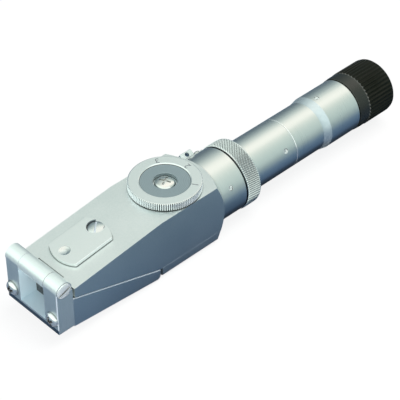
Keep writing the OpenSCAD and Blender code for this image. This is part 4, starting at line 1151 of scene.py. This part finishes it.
# %% Floor
floor_size = 4.0
floor_height = -0.0012
floor_bm = bmesh.new()
bmesh.ops.create_grid(floor_bm, x_segments=1, y_segments=1, size=floor_size)
bmesh.ops.translate(floor_bm, vec=(0, 0, floor_height), verts=floor_bm.verts)
floor_look = Look(bpy.data.materials.new("studio_white"))
paper = floor_look.node("ShaderNodeBsdfDiffuse", {}, {"Color": rgb(0.92, 0.92, 0.92)})
glow = floor_look.node("ShaderNodeEmission", {}, {"Color": rgb(1, 1, 1), "Strength": 1.0})
glow_share = white_share(floor_look) * 0.85
blend = floor_look.node("ShaderNodeMixShader", {}, {0: glow_share, 1: paper, 2: glow})
floor_look.node("ShaderNodeOutputMaterial", {}, {"Surface": blend})
floor = studio_object("studio_floor", floor_bm, floor_look)
print("floor at z in mm:", floor_height / MM)

# %% Backdrop
world = bpy.data.worlds.new("studio_backdrop")
bpy.context.scene.world = world
sky = Look(world)
dim = sky.node("ShaderNodeBackground", {}, {"Color": rgb(0.92, 0.96, 1.0), "Strength": 0.55})
white = sky.node("ShaderNodeBackground", {}, {"Color": rgb(1, 1, 1), "Strength": 1.0})
chosen = sky.node("ShaderNodeMixShader", {}, {0: white_share(sky), 1: dim, 2: white})
sky.node("ShaderNodeOutputWorld", {}, {"Surface": chosen})

# %% [markdown]
# ## The light tent
# Round the object stands a light tent, as product photographers use, and only reflections see it. It
# is bright overhead, dimmer on the far side, and slate blue near the table. Several lamps could make
# such a gradient, but they would also light the object unevenly. Instead, the cloth's colour follows
# the angle round the instrument's axis, because a tube mirrors each angle along one line. Distances
# on the tent are in metres from the dial's middle.

# %% Shape of the tent
tent_size = 1.5
tent_low = -0.0011
tent_bm = bmesh.new()
bmesh.ops.create_icosphere(tent_bm, subdivisions=4, radius=tent_size)
geometry = tent_bm.verts[:] + tent_bm.edges[:] + tent_bm.faces[:]
cut = bmesh.ops.bisect_plane(tent_bm, geom=geometry, plane_co=(0, 0, tent_low), plane_no=(0, 0, -1),
                             clear_outer=True)
rim_edges = [e for e in cut["geom_cut"] if isinstance(e, bmesh.types.BMEdge)]
bmesh.ops.edgenet_fill(tent_bm, edges=rim_edges)
print("faces of the tent:", len(tent_bm.faces))

# %% Places on the tent
tent_look = Look(bpy.data.materials.new("tent_cloth"))
spot = tent_look.node("ShaderNodeTexCoord", out="Object")
along = tent_look.node("ShaderNodeSeparateXYZ", {}, {0: spot}, out="X")
across = tent_look.node("ShaderNodeSeparateXYZ", {}, {0: spot}, out="Y")
height = tent_look.node("ShaderNodeSeparateXYZ", {}, {0: spot}, out="Z")


def ramp(stops, factor):
    """A colour that runs through the stops as a factor goes from 0 to 1."""
    return tent_look.node("ShaderNodeValToRGB", {"stops": stops}, {"Fac": factor})


# %% Cloth over the object: bright overhead, dim on the far side
over_stops = [
    (0.00, rgb(0.34, 0.44, 0.45)),
    (0.10, rgb(0.46, 0.59, 0.57)),
    (0.28, rgb(0.58, 0.70, 0.66)),
    (0.39, rgb(0.76, 0.84, 0.77)),
    (0.48, rgb(1.12, 1.13, 1.05)),
    (0.60, rgb(1.08, 1.10, 1.02)),
    (0.70, rgb(0.66, 0.76, 0.72)),
    (0.84, rgb(0.28, 0.36, 0.38)),
    (0.95, rgb(0.15, 0.21, 0.24)),
    (1.00, rgb(0.12, 0.17, 0.20)),
]
round_x = tent_look.node("ShaderNodeMath", {"operation": "ARCTAN2"}, {0: across, 1: height})
over_cloth = ramp(over_stops, round_x / math.pi + 0.5)

# %% Table under the object: a painted shadow close to it, paler further off
table_stops = [
    (0.00, rgb(0.015, 0.024, 0.040)),
    (0.03, rgb(0.055, 0.101, 0.180)),
    (0.12, rgb(0.075, 0.137, 0.228)),
    (0.25, rgb(0.098, 0.172, 0.268)),
    (0.50, rgb(0.165, 0.252, 0.330)),
    (1.00, rgb(0.270, 0.360, 0.380)),
]
table_width = 100 * MM
side_edge = 14.6 * MM
front_edge = -67.5 * MM
side_reach = tent_look.node("ShaderNodeMath", {"operation": "ABSOLUTE"}, {0: across}) - side_edge
front_reach = front_edge - along
reach = tent_look.node("ShaderNodeMath", {"operation": "MAXIMUM"}, {0: side_reach, 1: front_reach})
open_table = ramp(table_stops, reach / table_width)
# Under the rear half of the object the table is painted darker still, as shade.
rearwards = clamped((along + 60 * MM) / (60 * MM))
rear_end = clamped((55 * MM - along) / (20 * MM))
near_table = tinted(tent_look, rearwards * rear_end * 0.3, open_table, rgb(0.0, 0.0, 0.005))
far_side = clamped((across - 30 * MM) / (60 * MM))
table_cloth = tinted(tent_look, far_side, near_table, rgb(0.10, 0.14, 0.18))

# %% Put the two together, with a pale card at the near side and a pale wall in front
overhead = clamped(height / (4 * MM))
both = tinted(tent_look, overhead, table_cloth, over_cloth)
in_front = clamped((-0.12 - along) / 0.5)
near_side = clamped((-0.2 - across) / 0.3)
forward = clamped((0.62 - along) / 0.25)
card = tinted(tent_look, near_side * forward * overhead, both, rgb(1.10, 1.22, 1.18))
cloth = tinted(tent_look, in_front * overhead, card, rgb(1.05, 1.20, 1.12))
shine = tent_look.node("ShaderNodeEmission", {}, {"Color": cloth, "Strength": 1.0})
tent_look.node("ShaderNodeOutputMaterial", {}, {"Surface": shine})
tent = studio_object("light_tent", tent_bm, tent_look)
tent.visible_camera = False
tent.visible_diffuse = False
tent.visible_shadow = False
tent.visible_volume_scatter = False

# %% [markdown]
# ## The lamps
# Two large soft discs light the object at a plain level: the key lamp from above, and a weaker fill
# from the front left. A bare point of light would throw hard shadows and a hot spot on each tube.
# Reflections don't see the discs, since the tent already stands there.

# %% Lamps
def softbox(name, spot, aim, size, power, colour):
    """A disc of light at a spot, turned to what it aims at. Sizes in metres, power in watts."""
    lamp = bpy.data.lights.new(name, "AREA")
    lamp.shape = "DISK"
    lamp.size = size
    lamp.energy = power
    lamp.color = colour
    holder = bpy.data.objects.new(name, lamp)
    bpy.context.scene.collection.objects.link(holder)
    direction = Vector(spot) - Vector(aim)
    turned_to = direction.to_track_quat("Z", "Y").to_matrix().to_4x4()
    holder.matrix_world = Matrix.Translation(spot) @ turned_to
    holder.visible_glossy = False
    return holder


softbox("key_lamp", (0.25, -0.15, 0.85), (0.02, 0, 0.01), 0.7, 6.0, (1.0, 0.99, 0.96))
softbox("fill_lamp", (-0.75, -0.4, 0.34), (0.0, 0, 0.01), 0.6, 5.0, (0.94, 0.98, 1.0))
bpy.context.scene.view_settings.view_transform = "Standard"
print("studio is ready")
